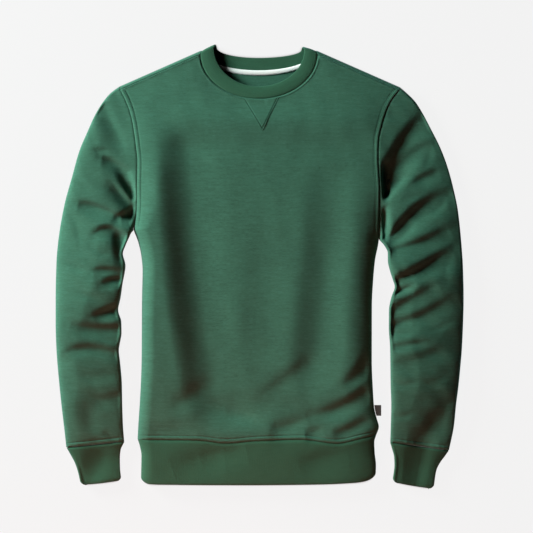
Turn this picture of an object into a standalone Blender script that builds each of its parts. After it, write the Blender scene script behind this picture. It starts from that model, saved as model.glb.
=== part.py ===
"""A crewneck sweatshirt laid out on its back, sleeves down at its sides.

Blender 4.5 script, metres, +Z up. The back lies flat on z = 0, the neck points to +Y and the
wearer's left arm is at +X. Every cloth piece is a hollow wall round air: the front panel
stands off the back by the loft of the cloth. Tables are in millimetres, one row a section,
an outline point or a fold.
"""

from collections import namedtuple

import bmesh
import bpy
import numpy as np

MM = 0.001

# Cloth
FLEECE = 2.4
RIB = 3.2
SEAM_GAP = 0.3
ARMHOLE_GAP = 0.4

# Loft: heights of the outer surface over the floor
SIDE_SEAM_Z = 9.0
SHOULDER_FOLD_Z = 6.6
LOWEST_FOLD_Z = 10.5
BACK_EDGE_ROUND = 9.0
HEM_ROUND_LEFT = 22.0
HEM_ROUND_RIGHT = 40.0
SLEEVE_FULLNESS = 2.3
UNDER_CORNER = 0.085

# Shoulders and neckline
NECK_X = -1.8
SHOULDER_FOLD = 5.0
WRAP_FLAT_RUN = 12.0
WRAP_ARC_RUN = 20.0
TIP_LEFT = (-224.0, 288.4)
TIP_RIGHT = (223.0, 287.4)

# Hem and cuffs
MOUTH_ROUNDING = 0.35

# Sections over which a sleeve's rings leave the shape of the armhole
FAN_SECTIONS = 3.5

# Cloth that the folds leave alone: along an armhole, a sleeve's edge and a body's edge
SEAM_FREE_OF_FOLDS = 14.0
SLEEVE_EDGE_FREE_OF_FOLDS = 7.0
BODY_EDGE_FREE_OF_FOLDS = 16.0

# Grid sizes
SIDE_ROWS = 15
ARMHOLE_ROWS = 12
LEFT_ROUND_COLUMNS = 4
LEFT_COLUMNS = 8
NECK_COLUMNS = 14
RIGHT_COLUMNS = 5
RIGHT_ROUND_COLUMNS = 6
WRAP_ROWS = 4
SLEEVE_TOP = 14
SLEEVE_BOTTOM = 10
RINGS_PER_SECTION = 2
BODY_STEP = 15.0
HEM_TOP_STEPS = 23
CORNER_STEPS = 3

# Layout of the body's rows, which are numbered 0 at the hem seam, 1 at the armpit and 2 at
# the shoulder, and of its columns, which are shares of the width
ROW_CROWDING = 0.09
HEM_BEND_ROWS = 0.3
YOKE_START_ROW = 1.15
ARMHOLE_LEAN = 4.0
NECK_SPREAD = 16.0
NECK_SPREAD_WIDTH = 0.09
NECK_SPREAD_ROW = 1.4
UPRIGHT_ROWS = 0.08
LEFT_ROUND_SHARE = 0.068
RIGHT_ROUND_SHARE = 0.155
BACK_CORNER = 0.024
HEM_LEFT_ROUND_SHARE = 0.06
HEM_RIGHT_ROUND_SHARE = 0.12

# Side seams from hem to armpit, and armholes from armpit to shoulder: x, y
SIDE_LEFT = (
    (-195.5, -275), (-194.6, -257), (-192.3, -222), (-190.5, -190), (-189.1, -149),
    (-188.5, -53), (-187.5, -5), (-189.6, 18), (-194.0, 38), (-201.9, 59.2),
)
SIDE_RIGHT = (
    (185.3, -269), (189.8, -255), (186.2, -241), (182.4, -225), (180.6, -200),
    (178.6, -149), (178.8, -60), (180.6, -24), (183.8, 11), (188.6, 35), (189.9, 44.0),
)
ARMHOLE_LEFT = (
    (-201.9, 59.2), (-198.2, 78), (-196.4, 100), (-196.3, 130), (-195.8, 168),
    (-198.1, 192), (-202.1, 221), (-207.0, 244), (-215.2, 266), (-224.0, 283.4),
)
ARMHOLE_RIGHT = (
    (189.9, 44.0), (190.8, 70), (191.3, 97), (191.4, 120), (190.1, 146),
    (188.8, 173), (189.3, 198), (195.2, 227), (206.7, 259), (223.0, 282.4),
)

# Height of the front panel over the floor, by y, before it falls to the shoulders and neck
FRONT_HEIGHT = (
    (-282, 20.5), (-240, 24), (-158, 30), (-41, 33), (60, 32.5), (150, 31), (210, 28.5),
    (270, 24), (346, 20),
)
TOP_FALL = 75.0

# Front panel's sides by row: 0 at the hem seam, 1 at the armpit, 2 at the shoulder.
# roundness is 1 where the side is a fold, 0 where it runs on into the sleeve.
Side = namedtuple("Side", "row roundness round_left round_right")
FRONT_SIDES = (
    Side(0.00, 1.0, 22, 40),
    Side(0.12, 1.0, 22, 50),
    Side(0.35, 1.0, 24, 62),
    Side(0.70, 1.0, 26, 62),
    Side(1.00, 0.9, 30, 52),
    Side(1.15, 0.3, 34, 46),
    Side(1.35, 0.0, 40, 42),
    Side(2.00, 0.0, 40, 40),
)

# The hem seam and the hem's lower edge: x, y
HEM_SEAM = (
    (-200, -275.0), (-100, -276.2), (-55, -281.0), (-5, -277.0), (65, -275.0),
    (123, -281.4), (164, -273.4), (186, -269.0),
)

# Hem rib by its distance from seam to edge
Band = namedtuple("Band", "share left right middle")
HEM_BANDS = (
    Band(0.00, -195.3, 185.3, 21.0),
    Band(0.13, -192.4, 182.6, 20.6),
    Band(0.38, -189.4, 183.2, 20.0),
    Band(0.70, -189.8, 185.3, 19.0),
    Band(1.00, -190.2, 184.6, 18.0),
)
HEM_EDGE = (
    (-191, -344.8), (-184, -347.2), (-60, -347.4), (100, -346.6), (158, -344.6),
    (178, -341.8), (186, -338.0),
)

# Folds: troughs pushed into the cloth, ridges where the depth is negative. The line runs
# start, middle, end; left and right are the widths on each side of it as one walks along.
Fold = namedtuple("Fold", "x0 y0 xm ym x1 y1 left right start middle end")
BODY_FOLDS = (
    Fold(-145.6, 190, -134.4, 19, -94.4, -170, 44, 15, 7.0, 12.5, 7.0),
    Fold(-150.0, 150, -152.0, 10, -126.0, -150, 12, 14, -1.0, -2.5, -1.0),
    Fold(83.2, 70, 68.8, -53, 33.6, -189, 24, 18, 2.0, 5.0, 4.0),
    Fold(72.0, -158, 40.0, -184, 3.2, -202, 9, 10, 3.0, 5.5, 2.0),
    Fold(-20.8, 30, -22.4, -53, -24.0, -125, 18, 16, 1.0, 2.8, 1.0),
    Fold(-149.0, -230, -120.0, -216, -92.8, -197, 10, 9, 1.0, 3.5, 2.0),
    Fold(-54.4, -230, -32.0, -237, -9.6, -245, 7, 7, 1.0, 2.8, 1.0),
    Fold(-67.0, -300, 10.0, -265, 57.6, -241, 8, 8, 1.5, 4.5, 3.0),
    Fold(67.2, -264, 80.0, -260, 92.8, -256, 7, 6, 1.5, 3.0, 1.5),
    Fold(92.8, -234, 124.8, -230, 163.2, -206, 7, 8, 2.0, 6.0, 5.0),
    Fold(112.0, -262, 131.2, -256, 153.6, -245, 6, 7, 2.0, 5.0, 3.0),
    Fold(137.6, -189, 152.0, -178, 166.4, -158, 8, 8, 2.0, 4.0, 3.0),
    Fold(112.0, -297, 135.0, -293, 160.0, -291, 9, 9, 1.0, 2.0, 2.0),
)

# Sleeves from armhole to cuff seam: a point on the outer edge and one on the inner edge of
# each section, and the height of the cloth between them.
Section = namedtuple("Section", "outer_x outer_y inner_x inner_y height")
SLEEVE_RIGHT_ARM = (
    Section(-224.0, 288.4, -201.9, 59.2, 22.0),
    Section(-238.4, 277.6, -202.2, 58.4, 25.0),
    Section(-251.2, 262.4, -202.7, 57.6, 28.5),
    Section(-264.0, 240.8, -203.2, 57.1, 31.5),
    Section(-275.2, 216.0, -203.8, 56.5, 33.5),
    Section(-288.6, 184.0, -204.5, 56.0, 34.5),
    Section(-300.2, 142.4, -205.4, 54.7, 35.0),
    Section(-311.5, 101.6, -206.7, 52.5, 35.0),
    Section(-319.7, 57.6, -208.6, 48.0, 35.0),
    Section(-322.7, 33.6, -214.7, 34.4, 34.5),
    Section(-324.5, 11.2, -218.9, 20.8, 34.0),
    Section(-325.3, -11.2, -214.7, 1.6, 34.0),
    Section(-325.8, -33.6, -219.5, -27.2, 34.0),
    Section(-325.9, -52.8, -222.4, -48.0, 33.5),
    Section(-325.9, -67.2, -226.4, -68.8, 33.0),
    Section(-325.9, -88.0, -221.4, -88.0, 33.0),
    Section(-325.6, -105.6, -221.1, -105.6, 32.5),
    Section(-324.5, -132.8, -225.3, -132.8, 32.0),
    Section(-323.2, -152.0, -223.4, -152.0, 31.5),
    Section(-320.0, -187.2, -220.5, -187.2, 30.5),
    Section(-316.2, -224.0, -219.8, -224.0, 28.5),
    Section(-312.3, -257.6, -218.6, -256.0, 25.0),
    Section(-309.1, -287.4, -216.8, -278.4, 22.0),
)
SLEEVE_LEFT_ARM = (
    Section(223.0, 287.4, 189.9, 44.0, 22.0),
    Section(235.2, 276.8, 190.4, 43.2, 25.0),
    Section(247.2, 264.8, 190.9, 42.7, 28.5),
    Section(259.2, 246.4, 191.5, 42.2, 31.5),
    Section(273.6, 219.2, 192.3, 41.6, 33.5),
    Section(288.0, 190.4, 193.6, 40.0, 34.5),
    Section(300.0, 158.4, 195.2, 38.4, 35.0),
    Section(309.6, 122.4, 197.3, 36.0, 35.0),
    Section(316.0, 91.2, 200.0, 32.0, 35.0),
    Section(320.0, 56.0, 204.0, 22.4, 35.0),
    Section(322.2, 30.4, 204.2, 9.6, 34.5),
    Section(323.8, 6.4, 207.2, -4.8, 34.0),
    Section(324.6, -17.6, 211.5, -18.4, 33.5),
    Section(325.0, -36.8, 215.2, -32.0, 33.0),
    Section(325.1, -56.0, 209.6, -48.8, 33.5),
    Section(324.6, -78.4, 205.9, -70.4, 33.5),
    Section(323.7, -104.0, 205.8, -97.6, 33.0),
    Section(322.2, -132.8, 207.7, -128.0, 32.5),
    Section(319.8, -160.0, 208.2, -156.8, 31.5),
    Section(316.8, -190.4, 208.6, -188.8, 30.5),
    Section(313.1, -219.2, 209.6, -219.2, 29.0),
    Section(309.8, -252.8, 209.0, -248.0, 25.5),
    Section(301.8, -292.5, 208.0, -279.2, 22.0),
)
CUFF_RIGHT_ARM = (
    Section(-308.5, -288.6, -216.6, -279.2, 22.0),
    Section(-301.6, -300.8, -222.6, -292.8, 20.6),
    Section(-295.7, -312.0, -223.7, -305.6, 19.6),
    Section(-290.7, -326.4, -223.4, -321.6, 18.8),
    Section(-286.0, -347.6, -221.3, -340.6, 18.0),
)
CUFF_LEFT_ARM = (
    Section(301.3, -293.4, 207.8, -280.2, 22.0),
    Section(295.7, -301.6, 210.9, -290.4, 21.0),
    Section(287.5, -312.8, 214.1, -303.2, 19.8),
    Section(281.6, -325.6, 214.7, -316.8, 18.8),
    Section(277.4, -354.0, 211.4, -342.6, 18.0),
)
# Height of the armhole edge of front and back, by its share from armpit to shoulder
ARMHOLE_Z = ((0.0, 9.0, 9.0), (0.08, 14.0, 1.2), (0.16, 16.8, 0.0), (0.35, 21.0, 0.0),
             (0.60, 20.5, 0.0), (0.85, 16.0, 0.0), (1.0, 13.2, 0.0))

SLEEVE_FOLDS_RIGHT_ARM = (
    Fold(-248, 259, -238, 240, -222, 219, 10, 9, 2, 4, 2),
    Fold(-268, 189, -248, 188, -230, 181, 5, 6, 1, 3.5, 2),
    Fold(-250, 172, -220, 160, -202, 130, 6, 7, 4, 8, 9),
    Fold(-219, 141, -209, 124, -200, 104, 7, 6, 9, 13, 13),
    Fold(-238, 132, -223, 115, -210, 102, 5, 5, 3, 6, 7),
    Fold(-290, 101, -256, 98, -226, 80, 6, 7, 3, 6, 4),
    Fold(-219, 86, -209, 79, -202, 86, 9, 8, 9, 15, 12),
    Fold(-264, 55, -243, 60, -224, 42, 7, 6, 3, 8, 9),
    Fold(-229, 44, -228, 20, -230, 0, 6, 6, 9, 7, 3),
    Fold(-266, -5, -243, -8, -221, -10, 5, 6, 2, 5, 6),
    Fold(-247, -31, -235, -25, -222, -21, 5, 5, 2, 5, 5),
    Fold(-260, -79, -243, -75, -227, -67, 6, 7, 3, 7, 9),
    Fold(-299, -90, -264, -97, -229, -96, 8, 9, 2, 5.5, 5),
    Fold(-307, -137, -275, -130, -235, -138, 5, 7, 2, 4.5, 3),
    Fold(-266, -213, -245, -213, -226, -210, 6, 7, 1, 3, 3),
    Fold(-285, -270, -270, -250, -266, -220, 9, 9, 3, 3.5, 1),
    Fold(-286, -347, -262, -318, -254, -296, 12, 10, 2, 3, 2),
)
SLEEVE_FOLDS_LEFT_ARM = (
    Fold(258, 243, 224, 216, 203, 160, 12, 8, 4, 11, 12),
    Fold(268, 181, 216, 168, 199, 112, 8, 6, 2, 9, 13),
    Fold(282, 150, 264, 146, 246, 133, 6, 6, 1, 4, 3),
    Fold(232, 146, 218, 137, 208, 122, 5, 5, 3, 6, 7),
    Fold(284, 114, 238, 97, 205, 68, 8, 6, 3, 9, 13),
    Fold(206, 62, 220, 61, 233, 57, 10, 8, 6, 6, 3),
    Fold(308, 66, 264, 47, 227, 29, 7, 7, 2, 6, 4),
    Fold(298, 24, 264, -2, 228, -19, 8, 7, 3, 9, 8),
    Fold(270, -24, 246, -48, 222, -65, 7, 6, 3, 8, 7),
    Fold(241, -29, 230, -37, 219, -39, 4, 5, 3, 6, 6),
    Fold(300, -58, 260, -81, 214, -93, 7, 7, 3, 6.5, 6),
    Fold(266, -120, 242, -122, 220, -127, 5, 6, 2, 4.5, 3),
    Fold(292, -132, 259, -146, 226, -152, 10, 9, 1, 3, 2),
    Fold(290, -228, 275, -251, 260, -277, 10, 9, 2, 4, 3),
    Fold(197, 86, 199, 66, 199, 48, 5, 5, 10, 13, 8),
    Fold(245, -292, 243, -318, 240, -345, 10, 9, 3, 4, 3),
)

# Neck rings: the seam, and the free edge of the collar
Ring = namedtuple("Ring", "centre half fold_left fold_right front back top crown")
NECK_SEAM = Ring(NECK_X, 93.2, 345.3, 345.3, 268.6, 310.4, 13.2, 1.6)
COLLAR_EDGE = Ring(-1.4, 73.1, 355.5, 351.7, 287.4, 333.3, 14.6, 1.2)
WRAP_NARROWING = 0.06
COLLAR_CAMBER = 2.2
COLLAR_BANDS = 3

# V insert, as shares of the front panel's own rows and columns
INSERT_LEFT, INSERT_RIGHT, INSERT_APEX = 0.441, 0.568, 0.512
INSERT_TOP_ROW, INSERT_APEX_ROW = 1.995, 1.753
INSERT_TIP = 0.001
INSERT_STEPS = 6
INSERT_LIFT = 0.6
INSERT_THICKNESS = 1.0

TAPE_WIDTH = 8.0
TAPE_THICKNESS = 0.8
TAPE_HALF_SPAN = 62.0
TAPE_CAMBER = 0.55

LABEL_LOW, LABEL_HIGH = -237.6, -220.5
LABEL_GAP = 0.7
LABEL_REACH = 9.6
LABEL_THICKNESS = 1.2

# Colours are linear RGB.
FLEECE_GREEN = (0.052, 0.162, 0.106, 1)
RIB_GREEN = (0.046, 0.150, 0.096, 1)
TAPE_WHITE = (0.82, 0.81, 0.78, 1)
LABEL_GREY = (0.20, 0.22, 0.20, 1)


def clear_scene():
    for obj in list(bpy.data.objects):
        bpy.data.objects.remove(obj)


def cloth_material(name, colour, roughness):
    material = bpy.data.materials.new(name)
    material.use_nodes = True
    shader = material.node_tree.nodes["Principled BSDF"]
    shader.inputs["Base Color"].default_value = colour
    shader.inputs["Roughness"].default_value = roughness
    shader.inputs["Metallic"].default_value = 0.0
    return material


def smooth_through(keys, rows, at):
    """Rows of a table read between its keys, on a cubic that never overshoots."""
    keys = np.asarray(keys, float)
    rows = np.asarray(rows, float)
    at = np.clip(np.asarray(at, float), keys[0], keys[-1])
    step = np.diff(keys)[:, None]
    slope = np.diff(rows, axis=0) / step
    tangent = np.zeros_like(rows)
    same_way = slope[1:] * slope[:-1] > 0
    before = step[:-1] + 2 * step[1:]
    after = 2 * step[:-1] + step[1:]
    with np.errstate(divide="ignore", invalid="ignore"):
        mean = (before + after) / (before / slope[:-1] + after / slope[1:])
    tangent[1:-1] = np.where(same_way, mean, 0)
    tangent[0], tangent[-1] = slope[0], slope[-1]
    i = np.clip(np.searchsorted(keys, at, side="right") - 1, 0, len(keys) - 2)
    t = ((at - keys[i]) / step[i, 0])[:, None]
    return (
        (2 * t**3 - 3 * t**2 + 1) * rows[i]
        + (t**3 - 2 * t**2 + t) * step[i] * tangent[i]
        + (3 * t**2 - 2 * t**3) * rows[i + 1]
        + (t**3 - t**2) * step[i] * tangent[i + 1]
    )


def along(points, shares):
    """Points at shares of the length of a smooth outline."""
    points = np.asarray(points, float)
    lengths = np.hypot(*np.diff(points, axis=0).T)
    keys = np.concatenate([[0], np.cumsum(lengths)]) / lengths.sum()
    return smooth_through(keys, points, shares)


def read_line(points, x):
    """The height y of a smooth line at each x."""
    points = np.asarray(points, float)
    return smooth_through(points[:, 0], points[:, 1:], x)[:, 0]


def ease(t):
    t = np.clip(t, 0, 1)
    return t * t * (3 - 2 * t)


def nearest_on_line(line_x, line_y, x, y):
    """Distance to a line of points, the share along it, and the side, 1 left to -1 right."""
    nearest = np.full_like(x, 1e9)
    place = np.zeros_like(x)
    side = np.zeros_like(x)
    spans = len(line_x) - 1
    for k in range(spans):
        run_x, run_y = line_x[k + 1] - line_x[k], line_y[k + 1] - line_y[k]
        length = np.hypot(run_x, run_y)
        off_x, off_y = x - line_x[k], y - line_y[k]
        share = np.clip((off_x * run_x + off_y * run_y) / length**2, 0, 1)
        distance = np.hypot(off_x - share * run_x, off_y - share * run_y)
        closer = distance < nearest
        cross = (run_x * off_y - run_y * off_x) / length
        side = np.where(closer, cross / np.maximum(distance, 1e-6), side)
        place = np.where(closer, (k + share) / spans, place)
        nearest = np.where(closer, distance, nearest)
    return nearest, place, np.clip(side, -1, 1)


def through_three(start, middle, end, t):
    """A value that passes start, middle and end at t of 0, a half and 1."""
    return start * (1 - t) * (1 - 2 * t) + middle * 4 * t * (1 - t) + end * t * (2 * t - 1)


def fold_depth(folds, x, y, step):
    """How deep the folds press at each plan point.

    A fold narrower than step, the distance between the points, is drawn as a wider and
    shallower one, so that no point stands out as a spike.
    """
    depth = np.zeros_like(x)
    t = np.linspace(0, 1, 13)
    for fold in folds:
        line_x = through_three(fold.x0, fold.xm, fold.x1, t)
        line_y = through_three(fold.y0, fold.ym, fold.y1, t)
        nearest, place, side = nearest_on_line(line_x, line_y, x, y)
        width = ((1 + side) * fold.left + (1 - side) * fold.right) / 2
        strength = through_three(fold.start, fold.middle, fold.end, place)
        reach = np.maximum(width, step)
        depth += strength * width / reach * np.exp(-((nearest / reach) ** 2))
    return depth


def steps_between(x, y):
    """The distance from each point of a grid to its further neighbours."""
    return np.maximum(
        np.hypot(np.gradient(x, axis=0), np.gradient(y, axis=0)),
        np.hypot(np.gradient(x, axis=1), np.gradient(y, axis=1)),
    )


def pressed(base, depth):
    """Height after the folds, which never press the cloth onto the layer below it."""
    room = np.maximum(base - LOWEST_FOLD_Z, 0.5)
    return base - room * np.tanh(depth / room)


def is_longer(points, a, b, c, d):
    return np.linalg.norm(points[a] - points[b]) > np.linalg.norm(points[c] - points[d])


def wall_solid(name, outer, inner, around, material, rounded_rows=()):
    """A wall between two grids of points, closed by a rim at every open edge.

    rounded_rows names the end rows whose rim is a fold and gets a rounded edge.
    """
    rows, columns = outer.shape[:2]
    mesh = bmesh.new()
    grids = [
        [[mesh.verts.new(point * MM) for point in row] for row in grid]
        for grid in (outer, inner)
    ]
    spans = columns if around else columns - 1
    for i in range(rows - 1):
        for j in range(spans):
            n = (j + 1) % columns
            cell = ((i, j), (i, n), (i + 1, n), (i + 1, j))
            if is_longer(outer, cell[0], cell[2], cell[1], cell[3]):
                cell = cell[1:] + cell[:1]
            for corners in (cell[:3], (cell[0], cell[2], cell[3])):
                mesh.faces.new([grids[0][r][c] for r, c in corners])
                mesh.faces.new([grids[1][r][c] for r, c in corners[::-1]])
    for i, beside in ((0, 1), (rows - 1, rows - 2)):
        chains = [grids[0][i], grids[1][i]]
        if i in rounded_rows:
            middle = (outer[i] + inner[i]) / 2
            away = middle - (outer[beside] + inner[beside]) / 2
            away /= np.linalg.norm(away, axis=1)[:, None]
            wall = np.linalg.norm(outer[i] - inner[i], axis=1)[:, None]
            crest = middle + away * wall * MOUTH_ROUNDING
            chains.insert(1, [mesh.verts.new(point * MM) for point in crest])
        for top, bottom in zip(chains, chains[1:]):
            for j in range(spans):
                n = (j + 1) % columns
                corners = [top[n], top[j], bottom[j], bottom[n]]
                mesh.faces.new(corners if i == 0 else corners[::-1])
    if not around:
        for j in (0, columns - 1):
            for i in range(rows - 1):
                corners = [grids[0][i][j], grids[0][i + 1][j], grids[1][i + 1][j], grids[1][i][j]]
                mesh.faces.new(corners if j == 0 else corners[::-1])
    bmesh.ops.recalc_face_normals(mesh, faces=mesh.faces)
    if mesh.calc_volume(signed=True) < 0:
        bmesh.ops.reverse_faces(mesh, faces=mesh.faces)
    data = bpy.data.meshes.new(name)
    mesh.to_mesh(data)
    mesh.free()
    data.shade_smooth()
    data.set_sharp_from_angle(angle=np.radians(50))
    data.materials.append(material)
    obj = bpy.data.objects.new(name, data)
    bpy.context.scene.collection.objects.link(obj)
    return obj


# ---- The neckline and the collar ----


def neck_ring(ring, grow=0.0):
    """The ring's points from the left shoulder round the front, and the way the band faces.

    grow widens it in plan, for the panel edges outside the seam. The angle is 90 on the
    front, where the band faces up, and turns to -90 on the back, where it faces the floor.
    """
    half, rise = ring.half + grow, ring.top / 2
    front_turn = np.linspace(0, np.pi, NECK_COLUMNS + 1)
    wrap_turn = np.linspace(90, -90, WRAP_ROWS + 1)
    back_turn = np.linspace(0, np.pi, NECK_COLUMNS - 1)
    narrow = half * (1 - WRAP_NARROWING * (1 - (wrap_turn + 90) / 180))
    wrap_y = -SHOULDER_FOLD * (1 - np.cos(np.radians(wrap_turn)))
    wrap_z = rise * (1 + np.sin(np.radians(wrap_turn)))

    def fold_y(x):
        share = (x - ring.centre + ring.half) / (2 * ring.half)
        return ring.fold_left + (ring.fold_right - ring.fold_left) * np.clip(share, 0, 1)

    front_x = ring.centre - half * np.cos(front_turn)
    top_y = fold_y(front_x) - SHOULDER_FOLD
    front = np.stack([
        front_x,
        top_y - (top_y - ring.front + grow) * np.sin(front_turn),
        ring.top + ring.crown * np.sin(front_turn) ** 2,
    ], axis=1)
    back_x = ring.centre + narrow[-1] * np.cos(back_turn)
    top_y = fold_y(back_x) - SHOULDER_FOLD
    back = np.stack([
        back_x,
        top_y - (top_y - ring.back + grow) * np.sin(back_turn),
        np.zeros_like(back_turn),
    ], axis=1)
    right_x = ring.centre + narrow
    right = np.stack([right_x, fold_y(right_x) + wrap_y, wrap_z], axis=1)
    left_x = ring.centre - narrow
    left = np.stack([left_x, fold_y(left_x) + wrap_y, wrap_z], axis=1)[::-1]
    points = np.concatenate([front, right[1:], back[1:], left[1:-1]])
    angles = np.concatenate([
        np.full(len(front), 90.0), wrap_turn[1:], np.full(len(back) - 1, -90.0),
        wrap_turn[::-1][1:-1],
    ])
    return front, right, back, left, points, angles


def make_collar(material):
    seam, angles = neck_ring(NECK_SEAM)[4:]
    edge = neck_ring(COLLAR_EDGE)[4]
    turn = np.radians(angles)
    toward = edge[:, :2] - seam[:, :2]
    toward /= np.linalg.norm(toward, axis=1)[:, None]
    sideways = np.stack([-toward[:, 1], toward[:, 0]], axis=1)
    sideways *= np.where(sideways[:, 1] < 0, -1, 1)[:, None]
    facing = np.stack([
        sideways[:, 0] * np.cos(turn), sideways[:, 1] * np.cos(turn), np.sin(turn),
    ], axis=1)
    camber = COLLAR_CAMBER * (1 + np.sin(turn)) / 2
    outer = []
    for share in np.linspace(0, 1, COLLAR_BANDS + 1):
        lift = 4 * share * (1 - share) * camber
        outer.append(seam + (edge - seam) * share + facing * lift[:, None])
    outer = np.array(outer)
    inner = outer - facing * RIB
    return wall_solid("collar", outer, inner, True, material, rounded_rows=(COLLAR_BANDS,))


def make_tape(material):
    """The tape straddles the back neck seam, on the inside of the back."""
    across = np.linspace(-1, 1, NECK_COLUMNS + 1)
    x = NECK_SEAM.centre + TAPE_HALF_SPAN * across
    half = NECK_SEAM.half * (1 - WRAP_NARROWING)
    top = NECK_SEAM.fold_left - SHOULDER_FOLD
    y = top - (top - NECK_SEAM.back) * np.sqrt(1 - ((x - NECK_SEAM.centre) / half) ** 2)
    under = []
    for side, z in ((-1, FLEECE + SEAM_GAP), (1, RIB + SEAM_GAP)):
        under.append(np.stack([x, y + side * TAPE_WIDTH / 2, np.full_like(x, z)], axis=1))
    under.insert(1, (under[0] + under[1]) / 2 + np.array([0, 0, TAPE_CAMBER]))
    under = np.array(under)
    return wall_solid(
        "neck_tape", under + np.array([0, 0, TAPE_THICKNESS]), under, False, material
    )


# ---- The body ----


def edge_points(side, armhole, rows):
    """Plan points up one side of the body at row numbers 0 to 2."""
    low = along(side, np.clip(rows, 0, 1))
    high = along(armhole, np.clip(rows - 1, 0, 1))
    return np.where((rows <= 1)[:, None], low, high)


def armhole_heights(shares):
    """Heights of the front's and the back's armhole edge, from armpit to shoulder."""
    table = np.array(ARMHOLE_Z)
    return smooth_through(table[:, 0], table[:, 1:], np.clip(shares, 0, 1))


def body_rows():
    low = np.linspace(0, 1, SIDE_ROWS + 1)
    low = low - ROW_CROWDING * np.sin(2 * np.pi * low)
    return np.concatenate([low, np.linspace(1, 2, ARMHOLE_ROWS + 1)[1:]])


def corner_steps(width, steps=CORNER_STEPS):
    """Shares from 0 to width that start close together, where an edge turns up."""
    return width * (1 - np.cos(np.linspace(0, np.pi / 2, steps + 1)))


def corner_shares():
    """Shares of the width at which the shoulder seams meet the neckline."""
    width = TIP_RIGHT[0] - TIP_LEFT[0]
    left = (NECK_SEAM.centre - NECK_SEAM.half - SEAM_GAP - TIP_LEFT[0]) / width
    right = (NECK_SEAM.centre + NECK_SEAM.half + SEAM_GAP - TIP_LEFT[0]) / width
    return left, right


def front_columns():
    """Shares of the width: close together where the sides round down and at the neck."""
    left, right = corner_shares()
    turn = np.linspace(0, np.pi / 2, LEFT_ROUND_COLUMNS + 1)
    columns = list(LEFT_ROUND_SHARE * (1 - np.cos(turn)))
    columns += list(np.linspace(LEFT_ROUND_SHARE, left, LEFT_COLUMNS + 1)[1:])
    turn = np.linspace(0, np.pi, NECK_COLUMNS + 1)[1:]
    columns += list((left + right) / 2 - (right - left) / 2 * np.cos(turn))
    columns += list(np.linspace(right, 1 - RIGHT_ROUND_SHARE, RIGHT_COLUMNS + 1)[1:])
    turn = np.linspace(np.pi / 2, 0, RIGHT_ROUND_COLUMNS + 1)[1:]
    columns += list(1 - RIGHT_ROUND_SHARE * (1 - np.cos(turn)))
    return np.array(columns)


def shoulder_y(x):
    """The fold line of the shoulders, from each tip to the collar."""
    tip_x = np.array([TIP_LEFT[0], NECK_X - NECK_SEAM.half, NECK_X + NECK_SEAM.half, TIP_RIGHT[0]])
    tip_y = np.array([TIP_LEFT[1], NECK_SEAM.fold_left, NECK_SEAM.fold_right, TIP_RIGHT[1]])
    return np.interp(x, tip_x, tip_y)


def neck_crown(x):
    """How much higher the front neckline is at x than at the shoulders."""
    return NECK_SEAM.crown * np.clip(1 - ((x - NECK_SEAM.centre) / NECK_SEAM.half) ** 2, 0, 1)


def front_top(columns):
    """Plan points of the front's upper edge: shoulder seam, neckline, shoulder seam."""
    left, right = corner_shares()
    x = TIP_LEFT[0] + (TIP_RIGHT[0] - TIP_LEFT[0]) * columns
    y = shoulder_y(x) - SHOULDER_FOLD - SEAM_GAP
    half = NECK_SEAM.half + SEAM_GAP
    sine = np.sqrt(np.clip(1 - ((x - NECK_SEAM.centre) / half) ** 2, 0, 1))
    on_neck = (columns > left - 1e-6) & (columns < right + 1e-6)
    top = NECK_SEAM.fold_left - SHOULDER_FOLD - SEAM_GAP
    return x, np.where(on_neck, top - (top - NECK_SEAM.front + SEAM_GAP) * sine, y)


def rise(share, roundness):
    """How far a side has risen, 0 to 1, at a share of its rounding."""
    short = (1 - np.clip(share, 0, 1)) ** 2
    return roundness * np.sqrt(1 - short) + (1 - roundness) * (1 - short)


def plan_grid(rows, columns):
    """Plan points of a body panel.

    The columns lean with an armhole only near it, and spread below the neckline's corners,
    where the neckline runs nearly along them.
    """
    left = edge_points(SIDE_LEFT, ARMHOLE_LEFT, rows)
    right = edge_points(SIDE_RIGHT, ARMHOLE_RIGHT, rows)
    lean = 1 + (ARMHOLE_LEAN - 1) * ease(rows - 1)[:, None]
    x = TIP_LEFT[0] + (TIP_RIGHT[0] - TIP_LEFT[0]) * columns
    x = x + (left[:, :1] - TIP_LEFT[0]) * (1 - columns) ** lean
    x = x + (right[:, :1] - TIP_RIGHT[0]) * columns**lean
    near_top = np.clip((rows - NECK_SPREAD_ROW) / (2 - NECK_SPREAD_ROW), 0, 1)
    spread = NECK_SPREAD * (ease(rows) - near_top**2)[:, None]
    for corner, outward in zip(corner_shares(), (-1, 1)):
        x = x + outward * spread * np.exp(-(((columns - corner) / NECK_SPREAD_WIDTH) ** 2))
    y = left[:, 1:] + (right[:, 1:] - left[:, 1:]) * columns
    start_x = SIDE_LEFT[0][0] + (SIDE_RIGHT[0][0] - SIDE_LEFT[0][0]) * columns
    start_y = SIDE_LEFT[0][1] + (SIDE_RIGHT[0][1] - SIDE_LEFT[0][1]) * columns
    bend = read_line(HEM_SEAM, start_x) - start_y
    y = y + bend * (1 - ease(rows / HEM_BEND_ROWS))[:, None]
    return x, y, left, right


def raised_to_yoke(y, left, right, rows, columns, top_y):
    """Bends the rows, from a little above the armpit on, to end at top_y."""
    tips = left[-1, 1] + (right[-1, 1] - left[-1, 1]) * columns
    return y + ease((rows - YOKE_START_ROW) / (2 - YOKE_START_ROW))[:, None] * (top_y - tips)


def panel_facing(x, slope, rows, up):
    """Directions of a body panel's wall: level at its side seams and upright at its armholes."""
    facing = np.zeros(x.shape + (3,))
    facing[..., 0] = slope
    facing[..., 2] = up * np.gradient(x, axis=1)
    upright = ease((rows - 1) / UPRIGHT_ROWS)
    for j, outward in ((0, -1), (-1, 1)):
        facing[:, j] = np.stack([outward * (1 - upright), 0 * upright, up * upright], axis=1)
    return facing / np.linalg.norm(facing, axis=2)[..., None]


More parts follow.
